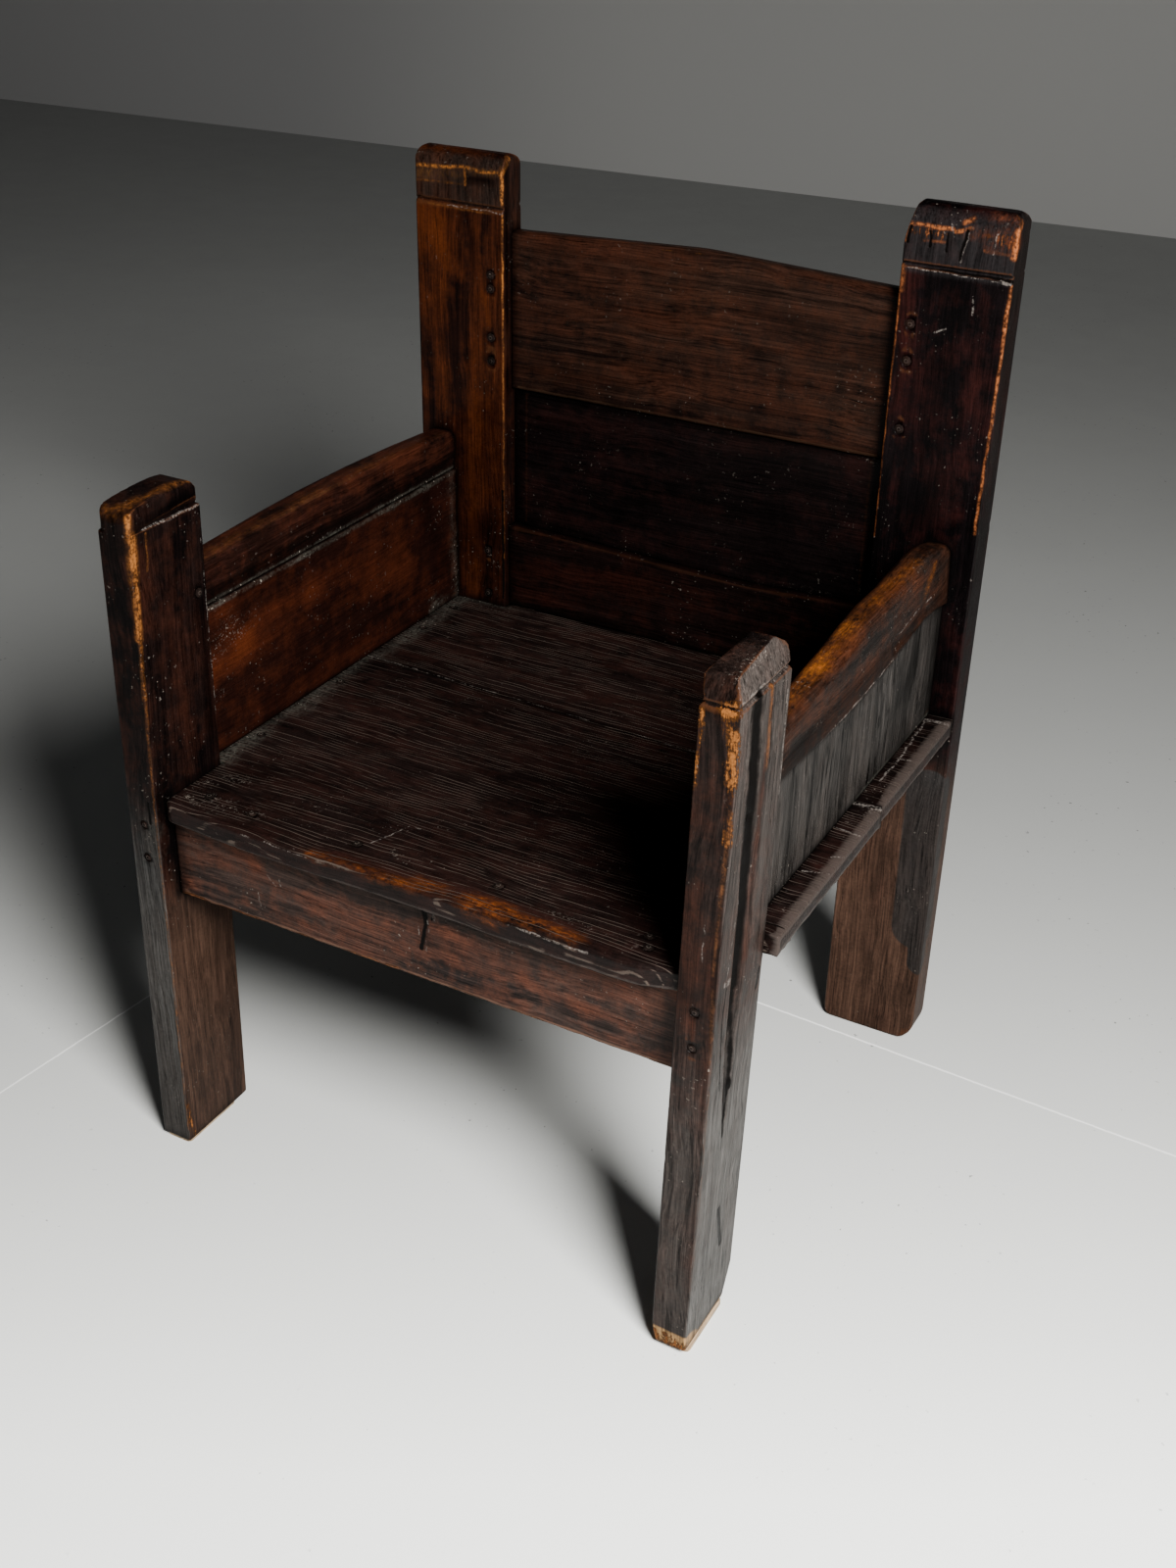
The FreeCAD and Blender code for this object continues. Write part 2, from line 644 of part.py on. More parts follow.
def make_middle_back_board():
    """Recessed board with bevelled ends, held by tongues all round."""
    reach = back_inner + tongue_length
    board_back = middle_board_face + middle_board_thickness
    plan = [(-reach, tongue_face, 0), (-back_inner, tongue_face, 0),
            (-back_inner + middle_board_bevel, middle_board_face, 0),
            (back_inner - middle_board_bevel, middle_board_face, 0),
            (back_inner, tongue_face, 0), (reach, tongue_face, 0), (reach, tongue_back, 0),
            (back_inner, tongue_back, 0), (back_inner, board_back, 0), (-back_inner, board_back, 0),
            (-back_inner, tongue_back, 0), (-reach, tongue_back, 0)]
    seam_low = lower_board_top - lower_board_dip
    board = prism(PLAN_VIEW, plan, seam_low, middle_board_top)
    dip_x = -back_inner + 2 * back_inner * lower_board_dip_share
    seen = [(-reach, lower_board_top, 0), (-reach, middle_board_top, 0), (reach, middle_board_top, 0),
            (reach, lower_board_top, 0), (back_inner, lower_board_top, 0),
            (dip_x, seam_low, back_inner), (-back_inner, lower_board_top, 0)]
    board = board.common(prism(FRONT_VIEW, seen, middle_board_face, board_back))
    tongue = block(-back_inner, back_inner, tongue_face, tongue_back,
                   seam_low - tongue_length, middle_board_top + tongue_length)
    return join(board, tongue)


def make_crest_board():
    """Top board of the back, with a peaked, rounded top edge."""
    peak_x = -back_inner + 2 * back_inner * crest_peak_share
    outline = [(-back_inner, middle_board_top, 0), (-back_inner, crest_end_top, 0),
               (peak_x, crest_end_top + crest_peak, back_inner), (back_inner, crest_end_top, 0),
               (back_inner, middle_board_top, 0)]
    face = back_post_face + crest_setback
    board = prism(FRONT_VIEW, outline, face, face + crest_thickness)
    top_edges = [edge for edge in board.Edges
                 if edge.BoundBox.ZMin > crest_end_top - crest_edge_round
                 and edge.BoundBox.YLength < crest_edge_round]
    board = board.makeFillet(crest_edge_round, top_edges)
    board = join(board, *[block(*limits) for limits in crest_tenons])
    board = board.cut(block(-back_inner, back_inner, tongue_face - fit, tongue_back + fit,
                            middle_board_top - overrun, middle_board_top + tongue_length + fit))
    return bored(board, crest_pegs)


# Arm rails and side panels

def arm_blank(x_start, x_end, under, height, shares, top_round, lower_round, slope_share):
    """Hewn arm rail through its sections, from front to back; the sloping face is at x_end."""
    length = back_post_face - front_post_rear
    top_x = x_start + (x_end - x_start) * slope_share
    sections = []
    for along, low, high in shares:
        bottom, top = under + low * height, under + high * height
        corners = [(x_start, bottom, lower_round), (x_start, top, top_round),
                   (top_x, top, top_round), (x_end, bottom, lower_round)]
        sections.append(rounded_wire(FRONT_VIEW, front_post_rear + along * length, corners))
    return Part.makeLoft(sections, True, True)


def make_left_arm_rail():
    """Straight rail, grooved along its underside for the side panel."""
    blank = arm_blank(left_arm_outer, left_arm_inner, left_arm_under, left_arm_height,
                      left_arm_shares, left_arm_round, arris, 1)
    rail = join(blank, *[block(*limits) for limits in left_arm_tenons])
    groove_start = left_panel_outer + panel_tongue_inset
    rail = rail.cut(block(groove_start - fit, groove_start + panel_tongue_thickness + fit,
                          front_post_rear, back_post_face,
                          left_arm_under - overrun, left_arm_under + panel_tongue_length + fit))
    return bored(rail, arm_rail_pegs)


def make_right_arm_rail():
    """Heavy rail with a wavy outline, ploughed to take the panel's whole thickness."""
    blank = arm_blank(right_arm_inner, right_arm_outer, right_arm_under, right_arm_height,
                      right_arm_shares, right_arm_round, right_arm_lower_round, right_arm_slope_share)
    rail = join(blank, *[block(*limits) for limits in right_arm_tenons])
    rail = rail.cut(block(right_panel_inner - fit, right_panel_outer + fit, front_post_rear, back_post_face,
                          right_arm_under - overrun, right_panel_top))
    return bored(rail, arm_rail_pegs)


def make_left_side_panel():
    """Left panel: stands on the seat, with a tongue up into the arm rail."""
    body = block(left_panel_outer, left_panel_inner, front_post_rear, back_post_face,
                 seat_height, left_arm_under)
    tongue_start = left_panel_outer + panel_tongue_inset
    tongue = block(tongue_start, tongue_start + panel_tongue_thickness, front_post_rear, back_post_face,
                   left_arm_under, left_arm_under + panel_tongue_length)
    return join(body, tongue, *[block(*limits) for limits in left_panel_tongues])


def make_right_side_panel():
    """Right panel: stands on the seat and runs up into the arm rail."""
    body = block(right_panel_outer, right_panel_inner, front_post_rear, back_post_face,
                 seat_height, right_panel_top)
    return join(body, *[block(*limits) for limits in right_panel_tongues])


# Seat and its rails

def joint_y(x):
    """Y of the slanting joint between the seat boards."""
    half_span = back_outer + seat_overhang
    share = (x + half_span) / (2 * half_span)
    return front_plane + joint_left + (joint_right - joint_left) * share


def make_front_seat_board():
    """Front board: worn front edge between the posts, notched round them."""
    half = back_outer + seat_overhang
    rear_of_posts = front_post_rear + fit
    corners = [(half, rear_of_posts, 0), (half, joint_y(half), 0), (-half, joint_y(-half), 0),
               (-half, rear_of_posts, 0), (seat_span_start, rear_of_posts, 0)]
    for along, wear, rounding in seat_edge_shares:
        corners.append((seat_span_start + along * seat_span, front_plane + wear * seat_edge_wear,
                        rounding * seat_edge_bend))
    corners.append((seat_span_end, rear_of_posts, 0))
    board = prism(PLAN_VIEW, corners, seat_under, seat_height)
    worn = [edge for edge in board.Edges
            if edge.BoundBox.YMax < front_plane + 2 * seat_edge_wear
            and edge.BoundBox.ZMin > seat_under and edge.BoundBox.ZLength < fit]
    board = board.makeFillet(seat_edge_round, worn)
    return bored(board, seat_pegs)


def make_rear_seat_board():
    """Rear board: notched round the back posts and carried on the back rail."""
    half = back_outer + seat_overhang - rear_board_shortfall
    front_of_posts = back_post_face - fit
    between = back_inner - fit
    rear = back_plane - seat_back_gap
    corners = [(-half, joint_y(-half), 0), (half, joint_y(half), 0), (half, front_of_posts, 0),
               (between, front_of_posts, 0), (between, rear, 0), (-between, rear, 0),
               (-between, front_of_posts, 0), (-half, front_of_posts, 0)]
    return bored(prism(PLAN_VIEW, corners, seat_under, seat_height), seat_pegs)


def make_front_seat_rail():
    """Apron between the front posts, with pegged tenons that follow their lean."""
    outline = [(left_post_x(1, front_rail_bottom), front_rail_bottom, 0), (left_post_x(1, seat_under), seat_under, 0),
               (right_post_x(0, seat_under), seat_under, 0), (right_post_x(0, front_rail_bottom), front_rail_bottom, 0)]
    rail = prism(FRONT_VIEW, outline, front_rail_face, front_rail_face + front_rail_thickness)
    tenons = [prism(FRONT_VIEW, front_rail_tenon_outline(side), front_tenon_face, front_tenon_back)
              for side in (-1, 1)]
    return bored(join(rail, *tenons), front_rail_pegs + seat_pegs)


def make_back_seat_rail():
    """Rail between the back posts, under the rear seat board."""
    rail = block(-back_inner, back_inner, back_rail_face, back_rail_face + back_rail_thickness,
                 seat_under - back_rail_height, seat_under)
    return join(rail, *[block(*limits) for limits in back_rail_tenons])


def make_seat_bearer(side):
    """Bearer under the ends of the seat boards, stub-tenoned into a front and a back post."""
    bearer = block(side * bearer_inner, side * bearer_outer, front_post_rear, back_post_face,
                   seat_under - bearer_height, seat_under)
    return bored(join(bearer, *[block(*limits) for limits in bearer_stubs(side)]), seat_pegs)


def make_foot_pad(foot, thickness, shift):
    """Thin pad under a front foot."""
    x_start, x_end = foot + pad_inset + shift, foot + front_post_width - pad_inset + shift
    y_start, y_end = front_plane + pad_inset + shift, front_post_rear - pad_inset - right_heel_cut_depth
    corners = [(x_start, y_start, pad_round), (x_end, y_start, pad_round),
               (x_end, y_end, pad_round), (x_start, y_end, pad_round)]
    return prism(PLAN_VIEW, corners, 0, thickness)


nodes = {
    "front_left_post": make_front_left_post(),
    "front_right_post": make_front_right_post(),
    "back_left_post": make_back_post(-1, back_left_kerf, back_left_head, back_left_head_front_shares,
                                     (foot_round, foot_round), left_arm_tenons, left_panel_tongues),
    "back_right_post": make_back_post(1, back_right_kerf, back_right_head, back_right_head_front_shares,
                                      (back_right_foot_inner_round, back_right_foot_round),
                                      right_arm_tenons, right_panel_tongues),
    "lower_back_board": make_lower_back_board(),
    "middle_back_board": make_middle_back_board(),
    "crest_board": make_crest_board(),
    "left_arm_rail": make_left_arm_rail(),
    "right_arm_rail": make_right_arm_rail(),
    "left_side_panel": make_left_side_panel(),
    "right_side_panel": make_right_side_panel(),
    "front_seat_board": make_front_seat_board(),
    "rear_seat_board": make_rear_seat_board(),
    "front_seat_rail": make_front_seat_rail(),
    "back_seat_rail": make_back_seat_rail(),
    "left_seat_bearer": make_seat_bearer(-1),
    "right_seat_bearer": make_seat_bearer(1),
    "front_left_foot_pad": make_foot_pad(left_foot, left_pad_thickness, 0),
    "front_right_foot_pad": make_foot_pad(right_foot, right_pad_thickness, right_pad_shift),
}
for name, pegs in (("crest_pegs", crest_pegs), ("lower_back_pegs", lower_back_pegs),
                   ("front_rail_pegs", front_rail_pegs), ("arm_rail_pegs", arm_rail_pegs),
                   ("seat_pegs", seat_pegs)):
    nodes[name] = Part.makeCompound([peg(*place) for place in pegs])

for name, shape in nodes.items():
    shape.exportStep(f"parts/{name}.step")
    box = shape.BoundBox
    print(f"{name}: {len(shape.Solids)} solids, valid {shape.isValid()}, "
          f"X {box.XMin:.1f}..{box.XMax:.1f}, Y {box.YMin:.1f}..{box.YMax:.1f}, Z {box.ZMin:.1f}..{box.ZMax:.1f}")
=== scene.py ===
import math

import bmesh
import bpy
import numpy as np
from mathutils import Matrix, Vector, noise
from mathutils.bvhtree import BVHTree


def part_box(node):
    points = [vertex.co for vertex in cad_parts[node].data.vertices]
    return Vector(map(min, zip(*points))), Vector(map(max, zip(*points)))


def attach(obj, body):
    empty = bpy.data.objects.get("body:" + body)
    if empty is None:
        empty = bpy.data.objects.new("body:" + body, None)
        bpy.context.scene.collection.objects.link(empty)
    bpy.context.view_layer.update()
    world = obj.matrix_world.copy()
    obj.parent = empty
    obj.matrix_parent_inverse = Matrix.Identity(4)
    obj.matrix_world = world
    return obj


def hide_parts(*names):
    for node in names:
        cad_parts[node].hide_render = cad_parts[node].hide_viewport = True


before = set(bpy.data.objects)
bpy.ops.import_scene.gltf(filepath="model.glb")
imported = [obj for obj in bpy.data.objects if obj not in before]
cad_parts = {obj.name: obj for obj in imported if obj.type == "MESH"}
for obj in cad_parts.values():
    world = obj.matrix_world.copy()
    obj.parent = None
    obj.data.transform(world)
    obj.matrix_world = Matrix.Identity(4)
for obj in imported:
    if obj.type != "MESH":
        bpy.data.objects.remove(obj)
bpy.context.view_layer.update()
scene = bpy.context.scene

# The studio: a pale painted floor that runs back to a grey wall, a soft light
# high at the right of the camera, and a weak light all round. The camera looks
# down at the chair from a little to its right.
mm = 0.001
lens = 41.39                       # for a 36 mm long side
camera_place = Vector((0.77042, -1.37089, 1.29113))
camera_turn = math.radians(28.25)  # to the left
camera_dip = math.radians(30.22)
camera_roll = math.radians(1.18)
camera_data = bpy.data.cameras.new("studio_camera")
camera_data.lens = lens
camera_data.sensor_width = 36
camera_data.sensor_fit = "AUTO"
camera = bpy.data.objects.new("studio_camera", camera_data)
scene.collection.objects.link(camera)
camera.matrix_world = (Matrix.Translation(camera_place) @ Matrix.Rotation(camera_turn, 4, "Z")
                       @ Matrix.Rotation(math.pi / 2 - camera_dip, 4, "X")
                       @ Matrix.Rotation(camera_roll, 4, "Z"))
scene.camera = camera

key_place, key_target = Vector((1.5, -1.2, 1.8)), Vector((0.4, -1.0, 0))
key_data = bpy.data.lights.new("key_light", "AREA")
key_data.shape = "DISK"
key_data.size = 0.88               # metres across
key_data.energy = 263              # watts
key_data.color = (1, 0.985, 0.96)
key_light = bpy.data.objects.new("key_light", key_data)
scene.collection.objects.link(key_light)
key_light.location = key_place
key_light.rotation_euler = (key_target - key_place).to_track_quat("-Z", "Y").to_euler()
key_light.visible_camera = False

world = bpy.data.worlds.new("studio_air")
world.use_nodes = True
air = world.node_tree.nodes["Background"].inputs
air["Color"].default_value = (0.95, 0.98, 1, 1)
air["Strength"].default_value = 0.036
scene.world = world


class Flow:
    """A value on its way through a material's nodes, with Python's own operators."""

    def __init__(self, recipe, socket):
        self.recipe, self.socket = recipe, socket

    def maths(self, operation, *values, clamp=False):
        return self.recipe.node("ShaderNodeMath", {"operation": operation, "use_clamp": clamp}, *values)

    def __add__(self, other):
        return self.maths("ADD", self, other)

    def __radd__(self, other):
        return self.maths("ADD", other, self)

    def __sub__(self, other):
        return self.maths("SUBTRACT", self, other)

    def __rsub__(self, other):
        return self.maths("SUBTRACT", other, self)

    def __mul__(self, other):
        return self.maths("MULTIPLY", self, other)

    def __rmul__(self, other):
        return self.maths("MULTIPLY", other, self)

    def __truediv__(self, other):
        return self.maths("DIVIDE", self, other)

    def __pow__(self, other):
        return self.maths("POWER", self, other)

    def held(self):
        """Kept between 0 and 1."""
        return self.maths("ADD", self, 0, clamp=True)

    def least(self, other):
        return self.maths("MINIMUM", self, other)

    def most(self, other):
        return self.maths("MAXIMUM", self, other)

    def step(self, low, high):
        """0 below low, 1 above high, easing between them."""
        return self.recipe.node("ShaderNodeMapRange", {"interpolation_type": "SMOOTHSTEP"},
                                self, low, high, 0, 1)


class Recipe:
    """The nodes of one finish."""

    def __init__(self, name):
        self.material = bpy.data.materials.new(name)
        self.material.use_nodes = True
        self.tree = self.material.node_tree
        self.surface = self.tree.nodes["Principled BSDF"]

    def node(self, kind, settings, *values, out=0, **named):
        made = self.tree.nodes.new(kind)
        for key, value in settings.items():
            setattr(made, key, value)
        sockets = [socket for socket in made.inputs if socket.enabled]
        pairs = list(zip(sockets, values))
        pairs += [(next(s for s in sockets if s.name == key.replace("_", " ")), value)
                  for key, value in named.items()]
        for socket, value in pairs:
            if isinstance(value, Flow):
                self.tree.links.new(value.socket, socket)
            else:
                socket.default_value = value
        outputs = [socket for socket in made.outputs if socket.enabled]
        return Flow(self, outputs[out])

    def place(self):
        return self.node("ShaderNodeTexCoord", {}, out=3)

    def facing(self):
        return self.node("ShaderNodeTexCoord", {}, out=1)

    def parts(self, vector):
        made = self.node("ShaderNodeSeparateXYZ", {}, vector).socket.node
        return [Flow(self, socket) for socket in made.outputs]

    def joined(self, x, y, z):
        return self.node("ShaderNodeCombineXYZ", {}, x, y, z)

    def noise(self, vector, scale, detail=3, rough=0.55):
        return self.node("ShaderNodeTexNoise", {}, Vector=vector, Scale=scale, Detail=detail,
                         Roughness=rough)

    def mark(self, name):
        return self.node("ShaderNodeAttribute", {"attribute_name": name}, out=2)

    def mixed(self, share, first, second, blend="MIX"):
        colours = [colour if isinstance(colour, Flow) else (*colour, 1) for colour in (first, second)]
        return self.node("ShaderNodeMix", {"data_type": "RGBA", "blend_type": blend}, share, *colours)

    def vectors(self, operation, *values):
        return self.node("ShaderNodeVectorMath", {"operation": operation}, *values)

    def scored(self, place, lines, wander=3 * mm, soft=0.4):
        """How strongly a point lies on straight lines from start to end, each with its
        width and at times a strength, all in millimetres. wander shakes their course,
        and soft is how far their edges fade, as a share of the width."""
        shaken = self.node("ShaderNodeTexNoise", {}, Vector=place, Scale=70, Detail=3, out=1)
        shake = self.vectors("SCALE", self.vectors("SUBTRACT", shaken, (0.5,) * 3), wander)
        place = self.vectors("ADD", place, shake)
        found = None
        for start, end, width, *strength in lines:
            start, line = Vector(start) * mm, (Vector(end) - Vector(start)) * mm
            from_start = self.vectors("SUBTRACT", place, start)
            share = self.vectors("DOT_PRODUCT", from_start, line / line.length_squared).held()
            away = self.vectors("DISTANCE", from_start, self.vectors("SCALE", line, share))
            half = width * 0.5 * mm
            cut = 1 - away.step(half * (1 - soft), half * (1 + soft))
            cut = cut * strength[0] if strength else cut
            found = cut if found is None else found.most(cut)
        return found

    def feed(self, name, value):
        socket = self.surface.inputs[name]
        if isinstance(value, Flow):
            self.tree.links.new(value.socket, socket)
        else:
            socket.default_value = value


# The floor's painted joints, from and to, with their width, in millimetres.
seams = [((-560, -810, 0), (-470, 20, 0), 2.2), ((60, 239, 0), (900, 200, 0), 2.6)]
floor_reach = 14                   # metres each way
floor_pale, floor_dark, seam_white = (0.80, 0.815, 0.795), (0.05, 0.05, 0.05), (0.95, 0.95, 0.94)
# Painted light fall-off: the floor darkens away from the light, along the camera's view
light_falloff_way, light_falloff_start, light_falloff_length = (-0.442, 0.897), -0.546, 2.374  # where the floor darkens


def floor_paint():
    """Worn grey paint with specks, pits and joints, darker towards the wall by painted light fall-off."""
    paint = Recipe("floor_paint")
    place = paint.place()
    x, y = paint.parts(place)[:2]
    away = ((x * light_falloff_way[0] + y * light_falloff_way[1] - light_falloff_start) / light_falloff_length).held()
    shade = (1 - (1 - away) ** 4.3) * 0.66 + (paint.noise(place, 1.3) - 0.5) * 0.05
    specks = paint.noise(place, 60, 4, 0.7).step(0.72, 0.8) * 0.12
    pits = paint.noise(place, 130, 2, 0.5).step(0.70, 0.76) * (paint.noise(place, 3.7) - 0.46).held() * 3
    colour = paint.mixed((shade + specks + pits).held(), floor_pale, floor_dark)
    colour = paint.mixed(paint.scored(place, seams, 2 * mm) * 0.55, colour, seam_white)
    paint.feed("Base Color", colour)
    paint.feed("Roughness", paint.noise(place, 9, 4) * 0.2 + 0.45)
    paint.feed("Specular IOR Level", 0.3)
    paint.feed("Normal", paint.node("ShaderNodeBump", {}, Strength=0.15, Distance=1 * mm,
                                    Height=paint.noise(place, 45, 5, 0.6)))
    return paint.material


def staged(name, shell, paint):
    """A studio surface from its shell."""
    mesh = bpy.data.meshes.new(name)
    shell.to_mesh(mesh)
    shell.free()
    mesh.materials.append(paint)
    surface = bpy.data.objects.new(name, mesh)
    scene.collection.objects.link(surface)


floor = bmesh.new()
bmesh.ops.create_grid(floor, x_segments=1, y_segments=1, size=floor_reach)
staged("studio_floor", floor, floor_paint())

# Two points at the foot of the wall, and how far it reaches
wall_left, wall_right, wall_reach = Vector((-2.964, 4.224, 0)), Vector((-0.342, 4.366, 0)), 7
wall_dark, wall_grey = (0.31, 0.31, 0.31), (0.43, 0.43, 0.42)


def wall_paint():
    """Flat grey paint, darker at the left end of the wall by painted light fall-off."""
    paint = Recipe("wall_paint")
    x = paint.parts(paint.place())[0]
    paint.feed("Base Color", paint.mixed(((x + 3.6) / 1.6).step(0, 1), wall_dark, wall_grey))
    paint.feed("Roughness", 0.9)
    return paint.material


wall = bmesh.new()
bmesh.ops.create_grid(wall, x_segments=1, y_segments=1, size=wall_reach,
                      matrix=Matrix.Translation((0, 0, wall_reach)) @ Matrix.Rotation(math.pi / 2, 4, "X"))
wall_turn = math.atan2(wall_right.y - wall_left.y, wall_right.x - wall_left.x)
bmesh.ops.rotate(wall, verts=wall.verts, matrix=Matrix.Rotation(wall_turn, 3, "Z"))
bmesh.ops.translate(wall, verts=wall.verts, vec=(wall_left + wall_right) / 2)
staged("studio_wall", wall, wall_paint())

# Front left post: an oak plank set edge to the front, sawn and planed by hand
# and black with old wax. Its head stands over a step kerf, and hands have
# rubbed the head and the inner arris below it back to orange wood.
quick_grid = 1
arris_rounds = 6      # how often an arris is drawn in
arris_wear = 0.55                          # the share of it that shows


def merged(node):
    """Copy of a node's solids, its loose triangles joined into whole faces."""
    solids = bmesh.new()
    solids.from_mesh(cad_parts[node].data)
    bmesh.ops.remove_doubles(solids, verts=solids.verts, dist=0.02 * mm)
    bmesh.ops.dissolve_limit(solids, angle_limit=math.radians(0.4), verts=solids.verts, edges=solids.edges)
    return solids


def timber(node, along, steps, levels):
    """Copy of a piece's wood, cut into a grid with one step along the grain and a finer
    one across it, and at some more heights. All are in millimetres."""
    wood = merged(node)
    low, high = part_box(node)
    cuts = []
    for axis in sorted(range(3), key=lambda axis: axis != along):
        step = steps[0 if axis == along else 1] * mm * quick_grid
        count = max(1, round((high[axis] - low[axis]) / step))
        cuts += [(axis, low[axis] + (high[axis] - low[axis]) * i / count) for i in range(1, count)]
    for axis, level in cuts + [(2, level * mm) for level in levels]:
        normal = Vector((0, 0, 0))
        normal[axis] = 1
        bmesh.ops.bisect_plane(wood, geom=wood.verts[:] + wood.edges[:] + wood.faces[:], dist=1e-6,
                               plane_co=normal * level, plane_no=normal)
    bmesh.ops.triangulate(wood, faces=wood.faces)
    return wood


def ripple(points, sizes, seed):
    """Smooth noise from -1 to 1 at each point, of one size or one for each axis, in metres."""
    shift = seed * 7.31
    return np.array([noise.noise(Vector(point)) for point in (points / np.array(sizes) + shift).tolist()])


def eased(points, pairs, rounds):
    """Points drawn towards the mean of their neighbours."""
    count = len(points)
    ends = np.concatenate([pairs[:, 0], pairs[:, 1]])
    others = np.concatenate([pairs[:, 1], pairs[:, 0]])
    shares = 0.5 / np.maximum(np.bincount(ends, minlength=count), 1)
    for _ in range(rounds):
        pulled = np.stack([np.bincount(ends, points[others, axis], count) for axis in range(3)], 1)
        points = points * 0.5 + pulled * shares[:, None]
    return points


def room_round(points, others, reach=20 * mm):
    """Distance from each point to the nearest of the other pieces, or reach."""
    corners, faces = [], []
    for thing in others:
        start = len(corners)
        corners += [vertex.co for vertex in thing.data.vertices]
        faces += [[start + corner for corner in face.vertices] for face in thing.data.polygons]
    tree = BVHTree.FromPolygons(corners, faces)
    found = [tree.find_nearest(point, reach)[3] for point in map(Vector, points.tolist())]
    return np.array([reach if away is None else away for away in found])


def marked(points, strokes, seed, ragged=1.0):
    """How strongly each point is marked by strokes from start to end, given in
    millimetres, each with its reach and strength."""
    found = np.zeros(len(points))
    for number, (start, end, reach, strength) in enumerate(strokes):
        start, end = np.array(start) * mm, np.array(end) * mm
        line = end - start
        share = np.clip((points - start) @ line / (line @ line), 0, 1)
        away = np.linalg.norm(points - start - share[:, None] * line, axis=1)
        close = away < reach * 2 * mm
        if close.any():
            near, own = points[close], seed + number
            edge = 1 + ragged * (0.35 * ripple(near, 12 * mm, own) + 0.25 * ripple(near, 5 * mm, own + 1))
            strong = np.clip(0.75 + 0.9 * ripple(near, 45 * mm, own + 2), 0.1, 1.15)
            edge *= 0.6 + 0.4 * strong
            mark = np.clip(1 - away[close] / (reach * mm * edge), 0, 1) * strength * strong
            found[close] = np.maximum(found[close], mark)
    return found


def put_in_place(mesh, node):
    """The finished piece, in place of its solids."""
    piece = bpy.data.objects.new(mesh.name, mesh)
    scene.collection.objects.link(piece)
    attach(piece, "root")
    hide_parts(node)


def aged(node, finish, along, steps, seed, levels=(), wave=0.35, dents=30, rubbed=(), dusty=(),
         red_and_painted_shine=(), black=(), gouged=(), polished=(), scuffed=()):
    """The piece with its arrises worn round and its faces wavy from the plane, and with
    the marks that its finish reads. Steps and levels are its grid's, wave is in
    millimetres, and dents is their number."""
    wood = timber(node, along, steps, levels)
    mesh = bpy.data.meshes.new("worn_" + node)
    wood.to_mesh(mesh)
    wood.free()
    count = len(mesh.vertices)
    points, outward = np.zeros(count * 3), np.zeros(count * 3)
    mesh.vertices.foreach_get("co", points)
    mesh.vertex_normals.foreach_get("vector", outward)
    points, outward = points.reshape(-1, 3), outward.reshape(-1, 3)
    pairs = np.zeros(len(mesh.edges) * 2, int)
    mesh.edges.foreach_get("vertices", pairs)
    pairs = pairs.reshape(-1, 2)
    # No wear where the piece meets its neighbours
    others = [(other.endswith("pegs"), thing) for other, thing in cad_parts.items() if other != node]
    to_wood = room_round(points, [thing for is_peg, thing in others if not is_peg])
    to_pegs = room_round(points, [thing for is_peg, thing in others if is_peg])
    free = np.clip((to_wood - 1 * mm) / (4 * mm), 0, 1) * np.clip((to_pegs - 2 * mm) / (3 * mm), 0, 1)
    # Arrises worn round, here more and there less
    round_points = eased(points, pairs, arris_rounds)
    bend = ((points - eased(points, pairs, arris_rounds * 2)) * outward).sum(1)
    worn = arris_wear * (0.8 + 0.5 * ripple(points, 20 * mm, seed) + 0.4 * ripple(points, 6 * mm, seed + 3))
    moved = points + (round_points - points) * (np.clip(worn, 0, 1.1) * (0.25 + 0.75 * free))[:, None]
    # The plane's long and short waves, dents and gouges, all cut inward
    long_wave, short_wave = [30 * mm] * 3, [6 * mm] * 3
    long_wave[along], short_wave[along] = 160 * mm, 30 * mm
    deep = ((1 + ripple(points, long_wave, seed + 5)) * 0.5 * wave
            + (1 + ripple(points, short_wave, seed + 7)) * 0.1 * wave)
    rng = np.random.default_rng(seed)
    for place in rng.choice(count, dents, replace=False):
        away = np.linalg.norm(points - points[place], axis=1)
        deep += np.clip(1 - away / (rng.uniform(2, 6) * mm), 0, 1) ** 1.5 * rng.uniform(0.2, 0.8)
    for start, end, reach, depth in gouged:
        deep += marked(points, [(start, end, reach, 1)], seed, 0.6) ** 0.7 * depth
    moved -= outward * (deep * mm * free)[:, None]
    low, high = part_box(node)
    mesh.vertices.foreach_set("co", np.clip(moved, np.array(low), np.array(high)).ravel())
    full_bend, corner_reach, hole_reach = 0.9 * mm, 9 * mm, 3 * mm
    # corner: darker near other pieces and pegs, black wax and painted shade where they meet
    marks = {"arris": np.clip(bend / full_bend, 0, 1) * free,
             "hollow": np.clip(-bend / full_bend, 0, 1),
             "corner": np.clip(np.maximum(1 - to_wood / corner_reach, 1 - to_pegs / hole_reach), 0, 1),
             "rubbed": marked(points, rubbed, seed),
             "dusty": marked(points, dusty, seed, 1.6),
             "red_and_painted_shine": marked(points, red_and_painted_shine, seed, 1.2),
             "black": marked(points, black, seed, 1.2),
             "polished": marked(points, polished, seed),
             "scuffed": marked(points, scuffed, seed, 1.4)}
    for mark, values in marks.items():
        layer = mesh.attributes.new(mark, "FLOAT", "POINT").data
        layer.foreach_set("value", values.astype(np.float32))
    mesh.shade_smooth()
    mesh.set_sharp_from_angle(angle=math.radians(42))
    mesh.materials.append(finish)
    mesh.update()
    put_in_place(mesh, node)


cut_black, pale_wood_and_highlight = (0.0012, 0.0009, 0.0008), (0.11, 0.096, 0.086)
dust_grey, nick_white = (0.042, 0.041, 0.034), (0.19, 0.165, 0.14)
comb_spacing, comb_colour = 4.2 * mm, (0.042, 0.0315, 0.0255)
